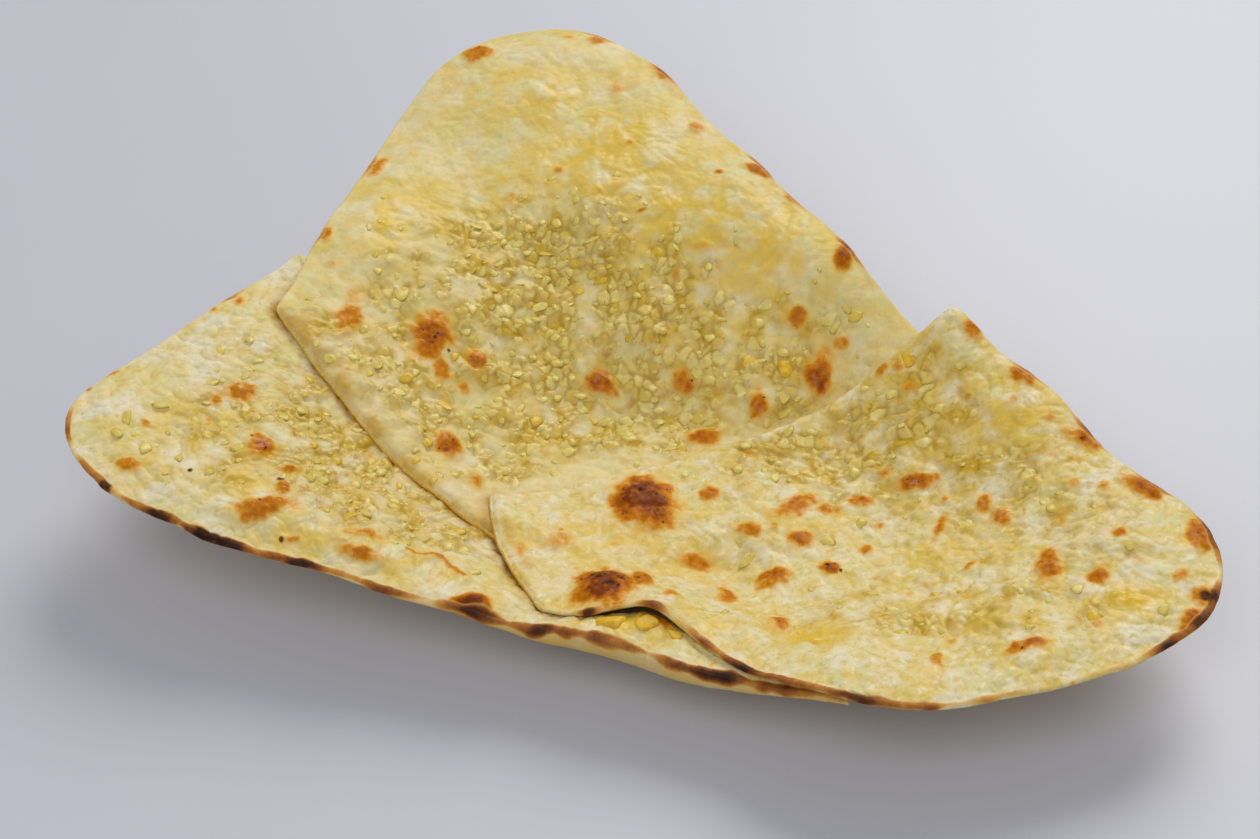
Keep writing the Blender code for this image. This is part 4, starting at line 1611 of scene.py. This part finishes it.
def colour_property(label, words, default):
    """A colour that a user may change."""
    return bpy.props.FloatVectorProperty(
        name=label, description=words, default=default, subtype="COLOR", size=3, min=0.0, max=1.0
    )


def length_property(label, words, default):
    """A length in metres that a user may change."""
    return bpy.props.FloatProperty(
        name=label, description=words, default=default, unit="LENGTH", min=0.0, precision=5
    )


def factor_property(label, words, default):
    """A plain number that a user may change."""
    return bpy.props.FloatProperty(name=label, description=words, default=default, min=0.0)


class NaanBreadSettings(bpy.types.PropertyGroup):
    """Relief and colours of the bread"""

    blister_height: length_property("Blister height", "Rise of the largest browned spots", 1.9 * MM)
    lump_height: length_property("Lump height", "Height of the lumps under the garlic", 1.45 * MM)
    grain_height: length_property("Grain height", "Height of the dough's fine creases", 0.36 * MM)
    mince_height: length_property("Fine garlic height", "Height of the fine garlic", 0.4 * MM)
    seat_depth: length_property("Garlic seat", "How deep the garlic presses in", 0.15 * MM)
    pale_dough: colour_property("Pale dough", "Palest baked dough", shade(228, 213, 164))
    dough: colour_property("Dough", "Baked dough", shade(219, 188, 76))
    warm_dough: colour_property("Warm dough", "Dough that is toasted a little", shade(230, 197, 120))
    cool_dough: colour_property("Cool dough", "Greenish dough", shade(214, 205, 134))
    floury_dough: colour_property("Floury dough", "Dry white patches", shade(230, 219, 188))
    buttery_dough: colour_property("Buttery dough", "Dough soaked with butter", shade(224, 185, 52))
    oily_dough: colour_property("Oily dough", "Wet dough between the garlic", shade(195, 154, 12))
    garlic_bits: colour_property("Fine garlic", "Garlic that carpets the bread", shade(218, 180, 48))
    pale_bits: colour_property("Pale garlic", "Palest bits of the fine garlic", shade(244, 228, 148))
    # Painted shade with oil, between the bits of garlic
    garlic_gap_oil_and_shade: colour_property("Garlic gaps", "Oil between the bits of garlic", shade(156, 118, 8))
    yellow_specks: colour_property("Yellow specks", "Specks of butter in the dough", shade(208, 182, 78))
    # Painted highlights: pale specks that stand in for tiny glints
    pale_glint_specks: colour_property("Pale specks", "Dry specks of the dough", shade(238, 228, 192))
    # Painted shade with oil: darker olive dough in the hollows of the lumps
    hollow_oil_and_shade: colour_property("Hollows", "Dough in the hollows of the top", shade(190, 156, 50))
    # Painted shadow with oil, under the edge of an upper slice
    contact_oil_and_shadow: colour_property("Contact stain", "Oil under a slice's edge", shade(150, 100, 6))
    # Painted shade with oil, at the foot of a cut
    oily_shaded_foot: colour_property("Oily foot", "Foot of a cut where oil gathers", shade(206, 148, 22))
    # Painted shade with oil, along a cut
    shaded_oily_edge: colour_property("Soaked edge", "Oily dough along a cut", shade(204, 160, 70))
    # Painted shade and painted warm reflection, over the rim wall's own gold
    outer_wall_shade_and_gold: colour_property("Outer wall", "Buttery side of the baked rim", shade(206, 164, 78))
    underside: colour_property("Underside", "Dry dough below", shade(230, 206, 150))
    toasted_underside: colour_property("Toasted underside", "Toasted dough below", shade(220, 184, 110))
    crumb: colour_property("Crumb", "Inside of the bread at a cut", shade(226, 192, 100))
    crumb_shadow: colour_property("Crumb shadow", "Pores of the crumb", shade(208, 168, 66))
    underside_patches: colour_property("Brown patches", "Browned dough below", shade(172, 112, 54))
    char: colour_property("Char", "Blackened rim and pits", shade(48, 26, 14))
    pale_char: colour_property("Pale char", "Browner parts of the char", shade(92, 52, 24))


class NaanToppingSettings(bpy.types.PropertyGroup):
    """How the toppings sit, and their colours"""

    garlic_sink: factor_property("Garlic sink", "Share of a piece's height that sinks in", 0.6)
    butter_sink: factor_property("Butter sink", "Share of a lump's height that sinks in", 0.5)
    fleck_sink: factor_property("Fleck sink", "Share of a fleck's height that sinks in", 0.3)
    garlic: colour_property("Garlic", "Cooked garlic", shade(226, 206, 112))
    garlic_green: colour_property("Green garlic", "Greener garlic", shade(208, 180, 70))
    garlic_buttered: colour_property("Buttered garlic", "Garlic soaked with butter", shade(226, 184, 44))
    # Painted shade on the lower part of each piece of garlic
    garlic_shadow: colour_property("Garlic shadow", "Where garlic sits in butter", shade(172, 138, 40))
    butter: colour_property("Butter", "Soft butter", shade(232, 190, 54))
    butter_deep: colour_property("Deep butter", "Melted butter", shade(214, 158, 34))
    burnt_brown: colour_property("Burnt brown", "Browner side of a burnt crumb", shade(92, 50, 18))
    burnt_black: colour_property("Burnt black", "Blacker side of a burnt crumb", shade(40, 22, 14))


class NaanStageSettings(bpy.types.PropertyGroup):
    """Table top, light and camera"""

    floor: colour_property("Floor", "Table top", shade(196, 196, 203))
    floor_size: length_property("Floor size", "Side of the table top", 4.0)
    room_light: factor_property("Room light", "Strength of the light from all round", 0.34)
    camera_tilt: bpy.props.FloatProperty(
        name="Camera tilt",
        description="How steeply the camera looks down",
        default=math.radians(42.0),
        subtype="ANGLE",
    )
    camera_distance: length_property("Camera distance", "From where the camera looks", 0.735)
    lens: bpy.props.FloatProperty(name="Lens", description="Focal length", default=70.0, unit="CAMERA")


class NAAN_OT_slices(bpy.types.Operator):
    """Make the three slices of bread, lowest first"""

    bl_idname = "naan.slices"
    bl_label = "Slices"

    def execute(self, context):
        settings = context.scene.naan_bread
        tops = np.full(raster().shape, -1.0)
        for name in SLICES:
            bread = SliceMesh(name, lift_over(tops, name), settings).build()
            tops = top_heights(bread, tops)
        return {"FINISHED"}


def lay_garlic(name, rows_on, subdivisions, seed, settings):
    """Makes one kind of garlic on all the slices."""
    material = garlic_finish(name, settings)
    rng = np.random.default_rng(seed)
    rows = [rows_on(part) for part in SLICES]
    make_scatter(name, rows, subdivisions, rng, settings.garlic_sink, material)


class NAAN_OT_minced_garlic(bpy.types.Operator):
    """Scatter the minced garlic on the slices"""

    bl_idname = "naan.minced_garlic"
    bl_label = "Minced garlic"

    def execute(self, context):
        settings = context.scene.naan_topping
        lay_garlic("minced_garlic", garlic_bits, MINCE_DETAIL, SEED_MINCE_SHAPES, settings)
        return {"FINISHED"}


class NAAN_OT_garlic_slivers(bpy.types.Operator):
    """Lay the larger slivers of garlic on the slices"""

    bl_idname = "naan.garlic_slivers"
    bl_label = "Garlic slivers"

    def execute(self, context):
        settings = context.scene.naan_topping
        lay_garlic("garlic_slivers", garlic_slivers, SLIVER_DETAIL, SEED_SLIVER_SHAPES, settings)
        return {"FINISHED"}


class NAAN_OT_butter(bpy.types.Operator):
    """Lay the lumps of soft butter on the slices"""

    bl_idname = "naan.butter"
    bl_label = "Butter lumps"

    def execute(self, context):
        settings = context.scene.naan_topping
        rng = np.random.default_rng(SEED_BUTTER_SHAPES)
        lumps = [
            (x * MM, y * MM, length * MM, width * MM, math.radians(turn), tall * MM)
            for x, y, length, width, turn, tall in BUTTER_LUMPS
        ]
        material = butter_finish(settings)
        sink = settings.butter_sink
        make_scatter("butter_lumps", [lumps], BUTTER_DETAIL, rng, sink, material, 6, 0.75)
        return {"FINISHED"}


class NAAN_OT_burnt_flecks(bpy.types.Operator):
    """Scatter burnt crumbs on the slices"""

    bl_idname = "naan.burnt_flecks"
    bl_label = "Burnt flecks"

    def execute(self, context):
        settings = context.scene.naan_topping
        rng = np.random.default_rng(SEED_FLECKS)
        flecks = []
        for name in SLICES:
            chance = functools.partial(fleck_chance, name)
            places = scatter(name, rng, FLECK_TRIES, FLECK_SPACING, chance)
            length = rng.uniform(*FLECK_LENGTH, len(places))
            turn = rng.uniform(0, math.pi, len(places))
            flecks.append(np.column_stack([places, length, length * 0.5, turn, length * 0.4]))
        material = burnt_finish(settings)
        make_scatter("burnt_flecks", flecks, FLECK_DETAIL, rng, settings.fleck_sink, material)
        return {"FINISHED"}


class NAAN_OT_stage(bpy.types.Operator):
    """Set up the table top, the light and the camera"""

    bl_idname = "naan.stage"
    bl_label = "Stage"

    def execute(self, context):
        settings = context.scene.naan_stage
        middle = (0.0, FLOOR_BEHIND, CAD_BOX[0][2])
        bpy.ops.mesh.primitive_plane_add(size=settings.floor_size, location=middle)
        floor = context.object
        floor.name = "table_top"
        floor.data.materials.append(floor_finish(settings))
        for light in LIGHTS:
            make_light(*light)
        world = bpy.data.worlds.new("soft_room")
        world.use_nodes = True
        background = world.node_tree.nodes["Background"]
        background.inputs["Color"].default_value = ROOM_COLOUR
        background.inputs["Strength"].default_value = settings.room_light
        context.scene.world = world
        context.scene.view_settings.view_transform = "Standard"
        make_camera(settings, context.scene)
        return {"FINISHED"}


def make_light(name, place, size, power, colour):
    """A round soft light that faces the naan."""
    lamp = bpy.data.lights.new(name, "AREA")
    lamp.shape = "DISK"
    lamp.size = size
    lamp.energy = power
    lamp.color = colour
    thing = bpy.data.objects.new(name, lamp)
    thing.location = place
    thing.rotation_euler = (-Vector(place)).to_track_quat("-Z", "Y").to_euler()
    bpy.context.scene.collection.objects.link(thing)


def make_camera(settings, scene):
    """The camera in front of the naan, looking down at it."""
    lens = bpy.data.cameras.new("camera")
    lens.lens = settings.lens
    lens.sensor_width = SENSOR_WIDTH
    camera = bpy.data.objects.new("camera", lens)
    tilt = settings.camera_tilt
    away = Vector((0.0, -math.cos(tilt), math.sin(tilt))) * settings.camera_distance
    camera.location = Vector(CAMERA_AIM) + away
    camera.rotation_euler = (math.pi / 2 - tilt, 0.0, 0.0)
    scene.collection.objects.link(camera)
    scene.camera = camera


OPERATORS = (
    NAAN_OT_slices, NAAN_OT_minced_garlic, NAAN_OT_garlic_slivers, NAAN_OT_butter,
    NAAN_OT_burnt_flecks, NAAN_OT_stage,
)


class NAAN_PT_panel(bpy.types.Panel):
    """Lists what the naan is made of"""

    bl_idname = "NAAN_PT_panel"
    bl_label = "Garlic naan"
    bl_space_type = "VIEW_3D"
    bl_region_type = "UI"
    bl_category = "Naan"

    def draw(self, context):
        for operator in OPERATORS:
            self.layout.operator(operator.bl_idname)
        for group, kind in SETTINGS.items():
            for label in kind.__annotations__:
                self.layout.prop(getattr(context.scene, group), label)


SETTINGS = {
    "naan_bread": NaanBreadSettings,
    "naan_topping": NaanToppingSettings,
    "naan_stage": NaanStageSettings,
}


def register():
    for group in (*SETTINGS.values(), *OPERATORS, NAAN_PT_panel):
        bpy.utils.register_class(group)
    for label, group in SETTINGS.items():
        setattr(bpy.types.Scene, label, bpy.props.PointerProperty(type=group))


def unregister():
    for label in SETTINGS:
        delattr(bpy.types.Scene, label)
    for group in (NAAN_PT_panel, *OPERATORS, *SETTINGS.values()):
        bpy.utils.unregister_class(group)


def main():
    """Makes the whole naan and its stage."""
    register()
    bpy.ops.naan.slices()
    bpy.ops.naan.minced_garlic()
    bpy.ops.naan.garlic_slivers()
    bpy.ops.naan.butter()
    bpy.ops.naan.burnt_flecks()
    bpy.ops.naan.stage()


if __name__ == "__main__":
    main()
